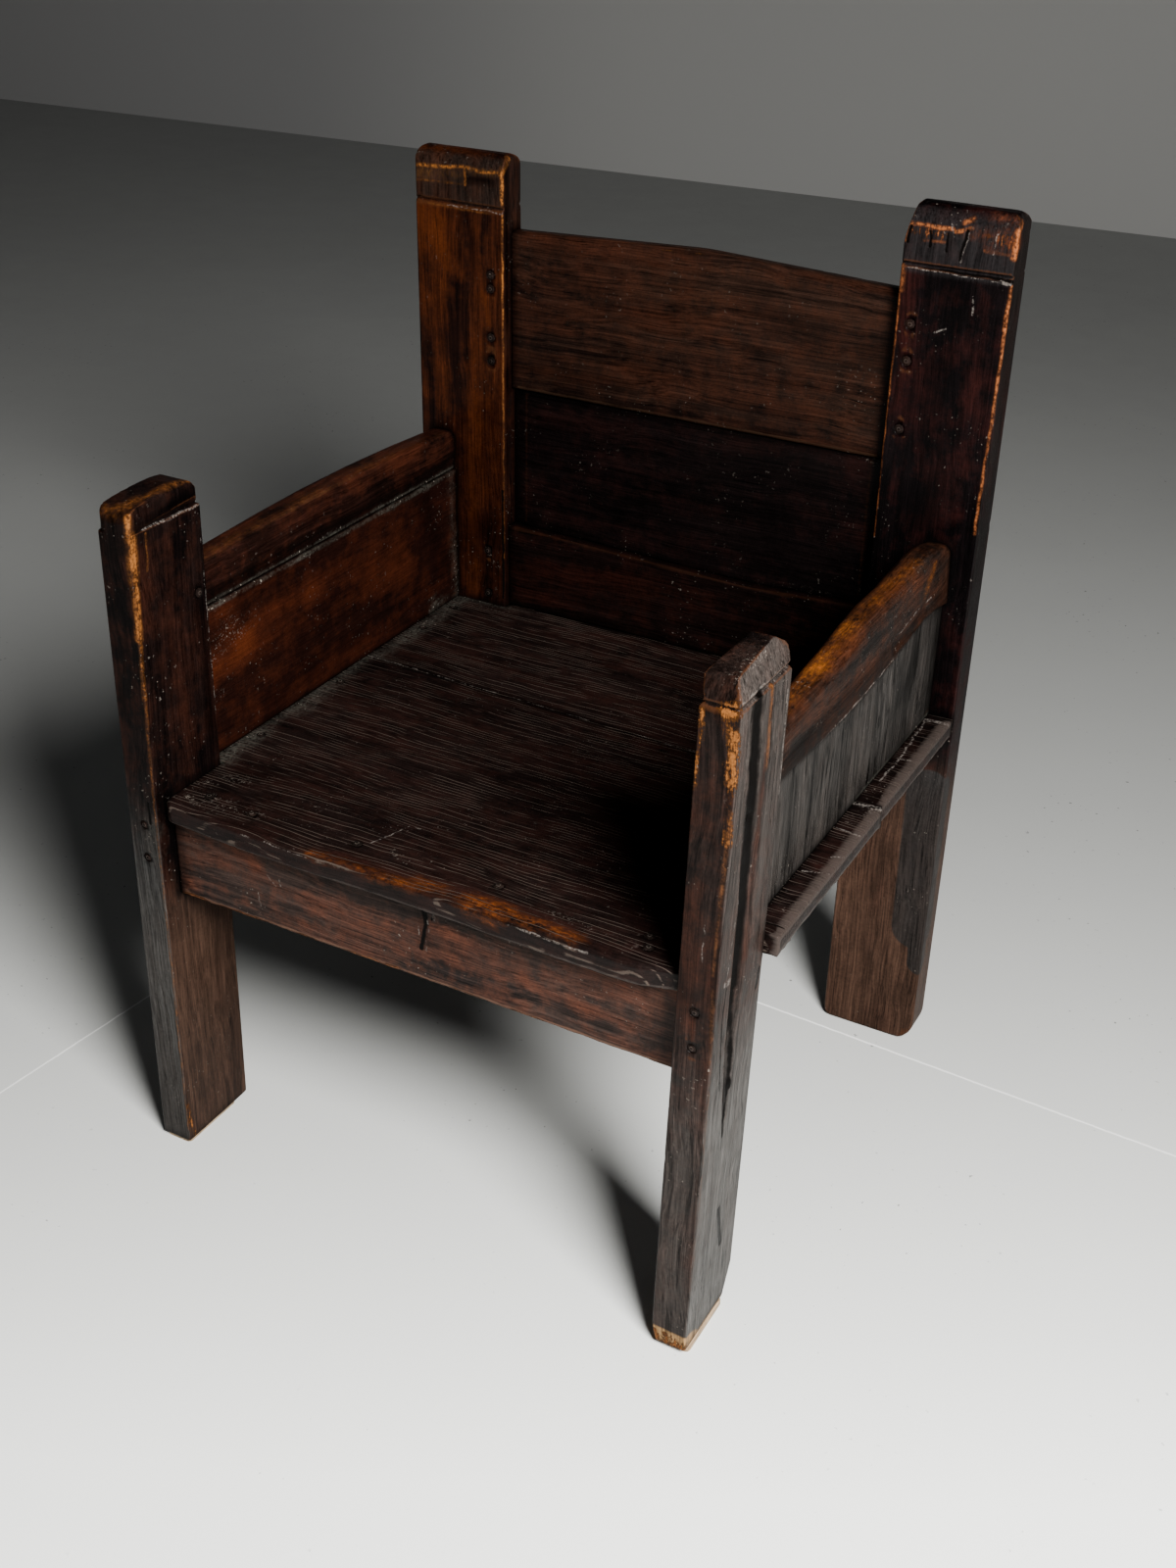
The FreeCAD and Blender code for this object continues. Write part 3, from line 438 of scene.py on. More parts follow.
# Dry, unwaxed oak on the chair's outer left and its back, painted paler as a fill light that lifts their
# shade, as painted sheens
dry_oak_fill = (0.075, 0.061, 0.051)
dry_left_fill, dry_back_fill = (0, -1, -0.2, -0.1, dry_oak_fill, 0.9), (1, 1, -0.2, -0.1, dry_oak_fill, 0.9)


def waxed_oak(name, along, dark, brown, red, share=0.3, bands=1.0, clouds=1.0, fibres=1.0,
              orange=(0.125, 0.046, 0.012), pale=(0.19, 0.085, 0.03), gold=(0.06, 0.024, 0.006), edge=0.5,
              edge_wear_and_highlight=(0.045, 0.016, 0.006), wax=0.03, gloss=0.4, flecks=0.3, lift=0.35, long=1.0,
              cracked=0.3, combed=False, foot=None, painted_sheen_and_shade=(), cuts=(), pale_lines_and_highlights=(), worn_lines=(),
              line_colour=(0.17, 0.062, 0.015), colour_patches=(), patch_colour=(0.0095, 0.009, 0.0088)):
    """Old waxed oak whose grain runs along the axis given, brown under dark wax, with
    a share of red. foot is the height below which the wood is bare of wax, and its
    colour there. A painted sheen lays painted reflection, light and shade on the faces
    that face one way: an axis and side, two heights between which it comes in, its
    colour and its strength. Cuts, worn lines and patches are lines from start to end
    with their width, in millimetres."""
    oak = Recipe(name)
    place = oak.place()
    axes = oak.parts(place)
    height = axes[2]
    length, (first, second) = axes[along], [axes[axis] for axis in range(3) if axis != along]

    def grain(lengthwise, across, detail=3, rough=0.6, start=0):
        """Noise drawn out along the grain, by how often it changes in a metre each way."""
        far = length * lengthwise + start if start else length * lengthwise
        return oak.noise(oak.joined(far, first * across, second * across), 1, detail, rough)

    # Grain that wavers, from long bands down to single fibres
    waver = (grain(4, 9, 2, 0.55) - 0.5) * 0.03 + (grain(11, 24, 2, 0.55) - 0.5) * 0.007
    first, second = first + waver, second + waver
    length = length / long
    fibre, streak, band, patch = grain(15, 780, 2), grain(3.2, 240, 4, 0.7), grain(2.4, 42), grain(7, 13)
    flame = grain(6, 22, 4, 0.65, start=9)
    cloud = oak.noise(place, 48, 4, 0.65)
    fleck = oak.noise(place, 340, 2, 0.6)
    # Body: brown under near-black wax, red-brown where it is thin
    tone = (0.42 + ((band - 0.5) * 1.5 + (streak - 0.5) * 1.2) * bands
            + ((patch - 0.5) * 2.2 + (cloud - 0.5) * 0.9) * clouds).held()
    colour = oak.mixed(tone, dark, brown)
    # Red-brown where the wax is thin, and in places a painted warm shine
    heat = (share + ((flame - 0.5) * 2.6 + (cloud - 0.5) * 2) * clouds + (band - 0.5) * 1.2 * bands
            + oak.mark("red_and_painted_shine") * 0.9)
    colour = oak.mixed(heat.held(), colour, red)
    if foot:
        level, foot_colour = foot
        bare_wood = height.step(level + 0.03, level - 0.09) * (0.55 + tone * 0.6)
        colour = oak.mixed(bare_wood.held(), colour, foot_colour)
    facing = oak.parts(oak.facing())
    # Painted sheens: painted reflection, light and shade on faces that face one way, between two heights
    for axis, side, start, end, tint, strength in painted_sheen_and_shade:
        painted_sheen_mask = (facing[axis] * side).step(0.45, 0.8) * height.step(start, end)
        painted_sheen_mask = painted_sheen_mask * (1 - oak.mark("red_and_painted_shine") * 0.85).held() * (0.55 + patch * 0.5 + (streak - 0.5) * 0.8)
        colour = oak.mixed((painted_sheen_mask * strength).held(), colour, tint)
    if colour_patches:
        colour = oak.mixed(oak.scored(place, colour_patches, 2 * mm, 0.06) * 0.85, colour, patch_colour)
    # Black marks: dark wax, and painted shadow where a piece's marks lie in shade
    dark_patch_and_shadow = (oak.mark("black") * (0.75 + cloud * 0.5)).held()
    colour = oak.mixed(dark_patch_and_shadow, colour, [c * 0.5 for c in dark])
    # Fibres, with dark cracks and light ridges between them
    shade = 1 + (fibre - 0.5) * 2.4 * fibres + (streak - 0.5) * 1.7 * fibres + (fleck - 0.5) * 0.8
    shade = shade.most(0.12)
    crack, glint = grain(11, 165).step(0.59, 0.66), grain(14, 190, start=5).step(0.60, 0.68)
    shade = shade * (1 - crack * cracked) * (1 + glint * cracked * 0.6)
    colour = oak.mixed(1.0, colour, shade, "MULTIPLY")
    # Wear: broken islands along the grain, from red-brown to orange and bare oak
    arris, rub = oak.mark("arris"), oak.mark("rubbed")
    chips = grain(65, 300, 3, 0.65)
    grit = oak.noise(place, 420, 2, 0.6)
    broken = (chips - 0.5) * 2.2 + (grit - 0.5) * 1.0 + (fibre - 0.5) * 0.7
    bare = (rub * (0.55 + arris * 0.7) + broken * rub.step(0, 0.4) * (1 - arris * 0.45)).held()
    # Arrises: a thin line of wear, which on some pieces is a pale painted highlight
    colour = oak.mixed(((arris * 2.6 - 1.6 + broken * 0.7).held() * edge).held(), colour, edge_wear_and_highlight)
    colour = oak.mixed(bare.step(0.16, 0.34), colour, [o * 0.2 for o in orange])
    colour = oak.mixed(bare.step(0.36, 0.66), colour, orange)
    colour = oak.mixed(bare.step(0.85, 1.4), colour, pale)
    # Gold where hands have polished it, with painted highlights on its brightest flakes
    polished, flake = oak.mark("polished"), grain(120, 300, 3, 0.7)
    polish = polished * (0.3 + flake.step(0.42, 0.6) * 0.75 + (cloud - 0.5) * 2.4)
    colour = oak.mixed(polish.held(), colour, gold)
    thin = (1 + (fibre - 0.5) * 1.4 + (streak - 0.5) * 1.6 + (grit - 0.5) * 1.6).most(0.2)
    colour = oak.mixed(bare.most(polish.held()), colour, thin, "MULTIPLY")
    bright_gold_and_highlight = (polished * (flake.step(0.56, 0.7) + (cloud - 0.5) * 2 - 0.3)).held()
    colour = oak.mixed(bright_gold_and_highlight, colour, [gold[0] * 2, gold[1] * 1.8, gold[2] * 1.6])
    if worn_lines:
        line = oak.scored(place, worn_lines, 3.5 * mm, 0.75)
        patchy = 0.55 + (chips - 0.5) * 1.8 + (grit - 0.5) * 1.8 + (cloud - 0.5) * 2
        colour = oak.mixed((line * (patchy + 0.4)).held() * 0.8, colour, [c * 0.28 for c in line_colour])
        colour = oak.mixed((line * line * (patchy * 1.9 - 0.6)).held(), colour, line_colour)
    # Black wax and painted shade in the corners and where pieces meet, dust over it, then specks and nicks
    corner = (oak.mark("corner") * 0.9 + oak.mark("hollow") * 0.6).held()
    colour = oak.mixed(corner, colour, [c * 0.35 for c in dark])
    dusty = oak.mark("dusty")
    dust = (dusty * (cloud * 1.1 + (fleck - 0.5) * 2.6 + (chips - 0.5) * 1.5)).held()
    colour = oak.mixed(dust * 0.65, colour, dust_grey)
    nick = oak.noise(place, 300, 1).step(0.70, 0.75) * (oak.noise(place, 21) - 0.5 + dusty * 0.3).held() * 9
    speck = (grit * 0.6 + chips * 0.4).step(0.56, 0.63) * (patch + cloud - 0.75).held() * 2.2
    marks = (nick * (flecks + dusty * 0.9) + speck * oak.mark("scuffed")).held()
    colour = oak.mixed(marks * 0.8, colour, nick_white)
    relief = fibre * 0.35 + streak * 0.5 + fleck * 0.2 + cloud * 0.5 - marks * 0.4
    if combed:
        comb = oak.node("ShaderNodeMath", {"operation": "SINE"},
                        first * (2 * math.pi / comb_spacing) + (cloud - 0.5) * 2.5)
        crest = comb.step(0.78, 1.0) * grain(13, 240, 2, 0.55).step(0.44, 0.58)
        colour = oak.mixed((crest * (patch * 1.9)).held(), colour, comb_colour)
        relief = relief + crest * 0.8
    cut = 0
    # Cracks, splits and kerfs near black: their dirt, and painted shade inside them
    if cuts:
        cut = oak.scored(place, cuts, 4 * mm)
        colour = oak.mixed(cut, colour, cut_black)
        relief = relief - cut * 2
    # Pale lines: pale wood in chips, scratches and kerfs, and on some pieces painted highlights along edges
    if pale_lines_and_highlights:
        broken_up = (0.35 + (grit - 0.5) * 4 + (chips - 0.5) * 3).held()
        colour = oak.mixed(oak.scored(place, pale_lines_and_highlights, 5 * mm) * broken_up * 0.7, colour, pale_wood_and_highlight)
    oak.feed("Base Color", colour)
    rough = gloss + (fleck - 0.5) * 0.25 + (cloud - 0.5) * 0.3 + dust * 0.3 + bare * 0.1 + corner * 0.2
    oak.feed("Roughness", rough.most(0.2).least(0.95))
    oak.feed("Specular IOR Level", 0.02)
    oak.feed("Coat Weight", (wax * (1 - dust * 0.8) * (1 - corner * 0.7) * (1 - cut)).held())
    oak.feed("Coat Roughness", 0.2)
    oak.feed("Normal", oak.node("ShaderNodeBump", {}, Strength=lift, Distance=1 * mm, Height=relief))
    return oak.material


front_left_oak = waxed_oak(
    "front_left_oak", along=2, dark=(0.0014, 0.0009, 0.0009), brown=(0.006, 0.003, 0.0025),
    red=(0.012, 0.0039, 0.0024), share=0.12, gold=(0.09, 0.031, 0.0068), line_colour=(0.16, 0.058, 0.0145),
    foot=(0.33, (0.026, 0.0142, 0.0095)),
    # The first sheen is a painted reflection of the pale floor on the lower front face
    painted_sheen_and_shade=[(1, -1, 0.46, 0.30, (0.028, 0.028, 0.027), 0.95), dry_left_fill, dry_back_fill],
    cuts=[((-262, -197, 700), (-263, -197, 600), 2), ((-276, -292, 418), (-277, -292, 396), 3),
          ((-268, -250, 640), (-270, -248, 470), 1.4)],
    pale_lines_and_highlights=[((-268, -292, 688), (-263, -270, 688), 2.4), ((-263, -270, 688), (-262, -199, 687), 2.6),
               ((-263, -200, 680), (-266, -198, 470), 0.9)],
    # The rubbed inner arris, from the head to the foot
    worn_lines=[((-263, -289, 706), (-263.5, -290.5, 690), 6),
                ((-262.5, -288, 686), (-263, -288.5, 646), 9.5),
                ((-263, -288.5, 646), (-264, -290, 590), 7, 0.95),
                ((-264, -290, 590), (-266, -291, 530), 4, 0.75),
                ((-266, -291, 530), (-269, -292, 430), 2.6, 0.5),
                ((-269, -292, 430), (-276, -292, 20), 1.8, 0.4),
                ((-262, -270, 684), (-263, -272, 650), 2.4, 0.5)])
aged("front_left_post", front_left_oak, along=2, steps=(6, 2.7), levels=range(686, 716, 4),
     seed=11, rubbed=[((-275, -292, 60), (-275, -285, 8), 6, 0.5)],
     polished=[((-267, -289, 711), (-263, -289, 690), 11, 1.1),
               ((-276, -284, 712), (-270, -262, 714), 11, 0.9),
               ((-268, -262, 714), (-266, -206, 714), 6.5, 0.95),
               ((-302, -288, 707), (-276, -288, 709), 11, 0.5)],
     red_and_painted_shine=[((-262, -285, 680), (-264, -280, 600), 22, 0.8),
           ((-266, -240, 560), (-268, -235, 450), 18, 0.5)],
     black=[((-262, -283, 693), (-262, -202, 700), 8, 1.2), ((-262, -205, 600), (-266, -205, 440), 14, 0.9),
            ((-267, -292, 425), (-276, -270, 400), 18, 0.8),
            ((-310, -292, 700), (-306, -292, 450), 12, 0.8)],
     dusty=[((-275, -292, 395), (-277, -292, 360), 14, 0.6)])

# Front right post: the same plank for the other side. It has dried with an open
# shake down its outer face, and its head and outer arris are chipped and rubbed.
front_right_oak = waxed_oak(
    "front_right_oak", along=2, dark=(0.0019, 0.0012, 0.0011), brown=(0.0094, 0.0056, 0.0046),
    red=(0.018, 0.0063, 0.0038), share=0.2, pale=(0.2, 0.092, 0.027), cracked=0.6,
    line_colour=(0.085, 0.034, 0.0135),
    # Painted sheens: light on the lit outer face, and reflections of the floor low on the outer and front
    # faces
    painted_sheen_and_shade=[(0, 1, 0.10, 0.9, (0.040, 0.034, 0.0305), 0.8),
            (0, 1, 0.42, 0.25, (0.044, 0.0415, 0.039), 0.95),
            (1, -1, 0.42, 0.22, (0.026, 0.0225, 0.0205), 0.75), dry_back_fill],
    # The shake from the kerf down, then small checks round it
    cuts=[((314, -257, 676), (311, -248, 588), 11), ((311, -248, 588), (308, -244, 478), 11.5),
          ((308, -244, 478), (307, -248, 397), 14), ((307.5, -248, 397), (309, -245, 288), 6),
          ((308.5, -246, 300), (308, -252, 236), 3), ((312, -273, 412), (311, -276, 375), 2.2),
          ((311, -276, 375), (309.5, -268, 300), 2.2), ((316.5, -232, 655), (315, -226, 590), 1.5),
          ((315, -215, 610), (313, -210, 520), 1.6), ((306, -270, 230), (304.5, -266, 60), 1.6),
          ((307, -232, 250), (305, -228, 150), 1.6), ((305, -210, 210), (304, -214, 60), 1.6),
          ((305, -283, 130), (304, -281, 40), 1.6), ((306, -243.5, 144), (305, -231, 92), 6),
          ((311, -203, 388), (311, -207, 370), 4), ((310, -262, 322), (309.8, -246, 330), 1.8),
          ((306, -280, 186), (305.5, -277, 172), 2.4)],
    # Pale wood in the kerf, the shake's chipped lips, and a painted highlight along the head's front ridge
    pale_lines_and_highlights=[((316, -287, 680), (316, -257, 679), 2.6), ((316, -257, 679), (315.5, -202, 676), 3.4),
               ((283, -292, 703), (300, -290, 703), 2), ((312.5, -276, 418), (312, -268, 416), 6),
               ((315.5, -263, 650), (313.5, -254, 540), 2.4), ((313.5, -254, 540), (312.5, -265, 490), 2.4),
               ((312.5, -265, 490), (311.5, -274, 418), 2.4), ((317, -203, 655), (314, -199, 560), 2.4),
               ((298, -292, 480), (297.5, -292, 445), 1.4)],
    worn_lines=[((313, -291, 590), (310, -292, 500), 3.6, 0.65),
                ((310, -292, 500), (308, -292, 435), 3, 0.5),
                ((308.5, -292, 420), (310, -291, 345), 3.5, 0.4),
                ((309.5, -290, 340), (308, -289, 230), 3, 0.5),
                ((307.5, -289, 220), (303, -290, 60), 2.4, 0.45),
                ((317, -236, 674), (316, -232, 600), 6, 0.75)],
    colour_patches=[((268, -290, -4), (306, -290, -6), 58), ((300, -290, -4), (304, -210, -6), 30)],
    patch_colour=(0.18, 0.105, 0.046))
aged("front_right_post", front_right_oak, along=2, steps=(6, 2.7), levels=range(676, 704, 4),
     seed=23,
     rubbed=[((307, -292, 674), (311, -292, 650), 17, 1.5), ((312, -292, 655), (313, -292, 612), 10, 1.4),
             ((313, -291, 615), (312.5, -291, 560), 6, 1.1), ((284, -292, 669), (284, -292, 645), 7, 0.75),
             ((284, -292, 645), (282, -292, 600), 4, 0.5), ((317, -236, 676), (316, -233, 636), 6, 0.9),
             ((272, -290, 6), (303, -290, 6), 24, 1.6), ((273, -290, 692), (273, -284, 684), 9, 0.6)],
     red_and_painted_shine=[((290, -292, 640), (286, -292, 330), 16, 0.35), ((308, -292, 520), (305, -292, 60), 12, 0.5),
           ((316, -238, 670), (314, -235, 540), 7, 1.2), ((314, -235, 540), (311, -236, 420), 7, 1.0),
           ((292, -292, 384), (293, -292, 364), 5, 1.3)],
     black=[((298, -292, 674), (301, -292, 655), 6, 1.3), ((275, -292, 420), (290, -292, 400), 14, 0.6),
            ((312, -256, 676), (309, -248, 588), 7, 1.4), ((309, -248, 588), (305, -244, 478), 8, 1.4),
            ((305, -244, 478), (304, -248, 397), 9, 1.4), ((305, -247, 397), (305, -250, 242), 6, 1.2),
            ((304, -243, 144), (303, -231, 95), 6, 1.3)],
     scuffed=[((303, -285, 700), (316, -215, 701), 12, 0.8), ((308, -290, 676), (312, -280, 678), 6, 0.8)],
     gouged=[((317, -255, 676), (313.5, -247, 560), 6, 2.5),
             ((313.5, -246, 560), (309.5, -248, 300), 7, 3)])

# Back posts: wide oak planks with a face to the front, their heads over a saw
# kerf. The ridges of the heads and the long arrises are rubbed to orange.
back_left_oak = waxed_oak(
    "back_left_oak", along=2, dark=(0.0034, 0.0012, 0.0009), brown=(0.0124, 0.0038, 0.002),
    red=(0.037, 0.0086, 0.0022), share=0.27, bands=1.3, clouds=0.6, gold=(0.05, 0.022, 0.0065),
    line_colour=(0.19, 0.068, 0.016), foot=(0.33, (0.02, 0.011, 0.007)),
    # Painted sheens on the front faces of the head and on the faces turned right
    painted_sheen_and_shade=[(1, -1, 0.862, 0.868, (0.0105, 0.0075, 0.006), 0.75),
            (0, 1, 0.3, 0.9, (0.006, 0.005, 0.0045), 0.5), dry_left_fill, dry_back_fill],
    cuts=[((-324, 253.5, 868), (-216, 253.5, 866), 2.6), ((-218, 253.5, 560), (-218, 253.5, 430), 3)],
    pale_lines_and_highlights=[((-322, 253.5, 864), (-218, 254.5, 862), 1.6)],
    # The ridges of the head, then the long inner arris
    worn_lines=[((-321, 254, 900), (-290, 254, 901), 3.6, 0.8),
                ((-290, 254, 901), (-262, 254.5, 904.5), 3.2, 0.9),
                ((-262, 254.5, 904.5), (-244, 254, 901), 3, 0.7),
                ((-244, 254, 901), (-220, 254, 903), 3, 0.8),
                ((-321, 253.8, 885), (-262, 253.8, 887), 2.6, 0.35),
                ((-261.5, 254, 904), (-261.5, 253.8, 886), 3, 0.6),
                ((-218.5, 268, 914), (-218.5, 255, 902), 6), ((-218, 255, 902), (-217.5, 255, 872), 3.6),
                ((-217, 255, 861), (-217, 254.5, 760), 2.2, 0.8),
                ((-217, 254.5, 760), (-217, 254.5, 640), 2, 0.6),
                ((-217, 254.5, 640), (-217, 254.5, 480), 1.6, 0.4),
                ((-308, 254, 862.5), (-235, 254, 860), 2, 0.35)])
aged("back_left_post", back_left_oak, along=2, steps=(6, 2.7), levels=range(866, 919, 4),
     seed=37,
     polished=[((-319, 254, 894), (-266, 254, 895), 11, 0.9), ((-256, 254, 902), (-224, 254, 902), 4, 0.6)],
     red_and_painted_shine=[((-310, 253, 850), (-262, 253, 790), 34, 0.8), ((-240, 253, 774), (-233, 253, 746), 11, 1.3),
           ((-305, 253, 780), (-300, 253, 650), 22, 0.5), ((-255, 253, 720), (-250, 253, 600), 10, 0.5)],
     black=[((-216, 262, 905), (-216, 262, 560), 7, 1.0), ((-300, 253, 610), (-235, 253, 500), 60, 0.95),
            ((-256, 253, 893), (-224, 253, 893), 8, 0.9), ((-254, 253, 840), (-250, 253, 780), 8, 0.6),
            ((-235, 253.5, 783), (-234, 253.5, 782), 7, 0.9),
            ((-228, 253, 640), (-228, 253, 450), 26, 0.55), ((-300, 253, 500), (-230, 253, 430), 50, 0.6)],
     scuffed=[((-234, 253, 480), (-228, 253, 470), 5, 0.8), ((-232, 253, 440), (-228, 253, 428), 6, 0.6)])

back_right_oak = waxed_oak(
    "back_right_oak", along=2, dark=(0.0008, 0.0005, 0.0006), brown=(0.0029, 0.0016, 0.0018),
    red=(0.0105, 0.0025, 0.0021), share=0.1, orange=(0.105, 0.036, 0.014), pale=(0.3, 0.125, 0.06),
    gold=(0.07, 0.0195, 0.0085), line_colour=(0.21, 0.066, 0.022), foot=(0.36, (0.033, 0.0175, 0.0115)),
    flecks=0.22,
    # Painted sheens on the front faces of the head and on the faces turned right
    painted_sheen_and_shade=[(1, -1, 0.862, 0.868, (0.009, 0.008, 0.0082), 0.8),
            (0, 1, 0.3, 0.9, (0.009, 0.0072, 0.0064), 0.6), dry_back_fill],
    # The kerf, and splits in the head
    cuts=[((216, 253.5, 872), (324, 255, 869), 3), ((276, 254, 908), (273, 254.5, 895), 3.5),
          ((273, 254.5, 895), (271, 254.5, 881), 3), ((222, 254, 906), (220, 254, 892), 3),
          ((241, 254, 903), (242, 254, 890), 2.4), ((257, 254, 903), (258, 254, 888), 2.6)],
    pale_lines_and_highlights=[((222, 253.5, 869), (322, 254.5, 866.5), 1.4), ((260, 254, 913), (264, 254, 898), 2),
               ((311, 257, 918), (303, 254, 907), 2), ((303, 254, 907), (302, 254, 891), 1.5),
               ((278, 254, 906), (272, 254.5, 880), 1.8), ((312, 254, 868), (321, 254, 866), 3),
               ((288, 253.5, 850), (290, 253.5, 834), 2), ((255, 253.5, 812), (266, 253.5, 817), 1.6)],
    # The ridges of the head, then both long arrises
    worn_lines=[((219, 255, 909), (251, 254, 908), 4, 0.85), ((251, 254, 908), (262, 254, 908), 3.6, 0.9),
                ((265, 254, 906), (280, 254, 911), 3.6, 0.8),
                ((272, 255.5, 915), (279, 256.5, 919), 5, 0.8),
                ((322, 265, 920), (322.5, 256, 912), 4.5, 0.9), ((322, 255.5, 912), (321.5, 255.5, 890), 6),
                ((236, 254, 895), (256, 254, 896), 2.6, 0.35), ((294, 254, 893), (322, 255, 892), 3, 0.4),
                ((219, 254, 908), (218, 254, 893), 3, 0.5), ((218, 254, 868), (219, 254, 848), 6, 0.6),
                ((217.5, 254, 848), (217.5, 254, 740), 2.8, 0.7),
                ((217.5, 254, 740), (217.5, 254, 600), 2, 0.5),
                ((322.5, 255, 864), (322, 254.5, 824), 3.6, 0.9),
                ((322, 254.5, 824), (321, 254, 740), 2.8, 0.8),
                ((321, 254, 740), (319, 254, 624), 2.6, 0.75)],
    # A dark grey patch down the right part of the leg's front face
    colour_patches=[((308, 254, 330), (310, 254, 152), 50), ((318, 254, 170), (321, 254, 108), 26)])
aged("back_right_post", back_right_oak, along=2, steps=(6, 2.7), levels=range(870, 928, 4),
     seed=41,
     rubbed=[((284, 254, 908), (320, 254, 903), 11, 0.85), ((222, 254, 903), (255, 254, 902), 7, 0.55)],
     polished=[((284, 254, 908), (318, 254, 904), 14, 0.75), ((296, 254, 896), (318, 254, 895), 5, 0.5),
               ((300, 258, 924), (316, 258, 922), 9, 0.4)],
     red_and_painted_shine=[((226, 253, 850), (232, 253, 640), 12, 0.5), ((305, 253, 860), (300, 253, 740), 14, 0.7),
           ((225, 254, 925), (318, 254, 925), 14, 0.5), ((268, 254, 200), (262, 254, 130), 12, 0.6)],
     black=[((270, 253, 780), (262, 253, 620), 30, 0.8), ((250, 253.5, 860), (275, 253.5, 850), 16, 0.5)],
     gouged=[((276, 254, 908), (271, 253.5, 880), 5, 2), ((222, 253.5, 906), (220, 253.5, 892), 4, 1.4),
             ((241, 253.5, 903), (242, 253.5, 890), 3.5, 1.2),
             ((257, 253.5, 903), (258, 253.5, 888), 4, 1.2)])

# Back boards: three oak boards tenoned and pegged between the back posts, the
# middle one a thin panel with bevelled ends, held in grooves.
lower_oak = waxed_oak(
    "lower_board_oak", along=0, dark=(0.0011, 0.0006, 0.0005), brown=(0.0038, 0.0018, 0.0016),
    red=(0.0092, 0.0025, 0.0016), share=0.2, edge=0.1, flecks=0.2, long=1.8, painted_sheen_and_shade=[dry_back_fill],
    pale_lines_and_highlights=[((-216, 262, 517), (30, 262, 517), 0.9), ((30, 262, 517), (216, 262, 517), 0.6)])
aged("lower_back_board", lower_oak, along=0, steps=(7, 2.6), seed=53)
middle_oak = waxed_oak(
    "middle_board_oak", along=0, dark=(0.0009, 0.0006, 0.0006), brown=(0.003, 0.0017, 0.0017),
    red=(0.0062, 0.0021, 0.0018), share=0.1, edge=0.2, bands=0.5, flecks=0.12, long=1.8, painted_sheen_and_shade=[dry_back_fill])
aged("middle_back_board", middle_oak, along=0, steps=(7, 2.6), seed=59,
     # The warm mark at the right end is a painted highlight, the shine on the bevelled panel
     red_and_painted_shine=[((200, 274, 660), (215, 274, 560), 40, 0.8)],
     scuffed=[((60, 274, 512), (210, 274, 508), 10, 0.5), ((195, 274, 675), (214, 274, 668), 7, 0.7)])
crest_oak = waxed_oak(
    "crest_oak", along=0, dark=(0.0028, 0.0014, 0.0011), brown=(0.0135, 0.0064, 0.0042),
    red=(0.019, 0.0062, 0.0033), share=0.22, bands=1.3, clouds=1.1, edge=0.9,
    edge_wear_and_highlight=(0.03, 0.016, 0.009), flecks=0.16, long=2.4, painted_sheen_and_shade=[dry_back_fill])
aged("crest_board", crest_oak, along=0, steps=(7, 2.6), seed=61,
     red_and_painted_shine=[((-200, 270, 840), (200, 270, 842), 16, 0.6), ((-60, 270, 760), (120, 270, 740), 40, 0.4)],
     rubbed=[((-200, 270.5, 846), (150, 270.5, 849), 3, 0.45)],
     black=[((-200, 270, 700), (-120, 270, 690), 30, 0.4), ((60, 270, 800), (200, 270, 780), 30, 0.35)])

# Seat rails and bearers: oak rails tenoned into the posts, which carry the
# seat boards. Only the front rail shows.
rail_oak = waxed_oak(
    "front_rail_oak", along=0, dark=(0.0075, 0.0052, 0.0047), brown=(0.0305, 0.0188, 0.0152),
    red=(0.052, 0.0185, 0.011), share=0.25, bands=0.8, flecks=0.4, long=1.5, orange=(0.12, 0.045, 0.018),
    edge=0.8, edge_wear_and_highlight=(0.085, 0.045, 0.03), cracked=0.2,
    # The split at the middle, then its pale splinters
    cuts=[((15, -270.5, 394), (18, -270.5, 372), 6), ((18, -270.5, 372), (12, -270.5, 342), 4),
          ((26, -270.5, 392), (24, -270.5, 378), 2)],
    pale_lines_and_highlights=[((2, -270.5, 393), (30, -270.5, 391), 2.4), ((22, -270.5, 390), (28, -270.5, 378), 4),
               ((20, -270.5, 376), (21, -270.5, 362), 2), ((9, -270.5, 372), (10, -270.5, 356), 1.6),
               ((18, -270.5, 352), (17, -270.5, 341), 2), ((-172, -270.5, 340), (-170, -270.5, 326), 1.8),
               ((-160, -270.5, 366), (-150, -270.5, 356), 1.4),
               ((-146, -270.5, 364), (-144, -270.5, 357), 1.4)])
aged("front_seat_rail", rail_oak, along=0, steps=(6, 2.6), seed=67,
     rubbed=[((-270, -270, 309), (270, -270, 309), 2.5, 0.75)],
     red_and_painted_shine=[((-210, -270.5, 386), (-170, -270.5, 372), 10, 0.9),
           ((22, -270.5, 372), (90, -270.5, 364), 11, 1.0),
           ((-215, -270.5, 330), (-190, -270.5, 324), 8, 1.0),
           ((120, -270.5, 345), (230, -270.5, 335), 12, 0.7)],
     black=[((-120, -270.5, 395), (60, -270.5, 395), 12, 0.9),
            ((12, -270.5, 392), (15, -270.5, 350), 11, 1.0),
            ((-262, -270.5, 390), (-262, -270.5, 320), 8, 0.6)])
hidden_oak = waxed_oak("hidden_oak", along=0, dark=(0.006, 0.004, 0.003), brown=(0.02, 0.0125, 0.009),
                       red=(0.02, 0.01, 0.007))


def finish_solids(nodes, finish):
    """Gives its finish to each solid whose own shape stays."""
    for node in nodes:
        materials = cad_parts[node].data.materials
        materials.clear()
        materials.append(finish)


finish_solids(("back_seat_rail", "left_seat_bearer", "right_seat_bearer"), hidden_oak)

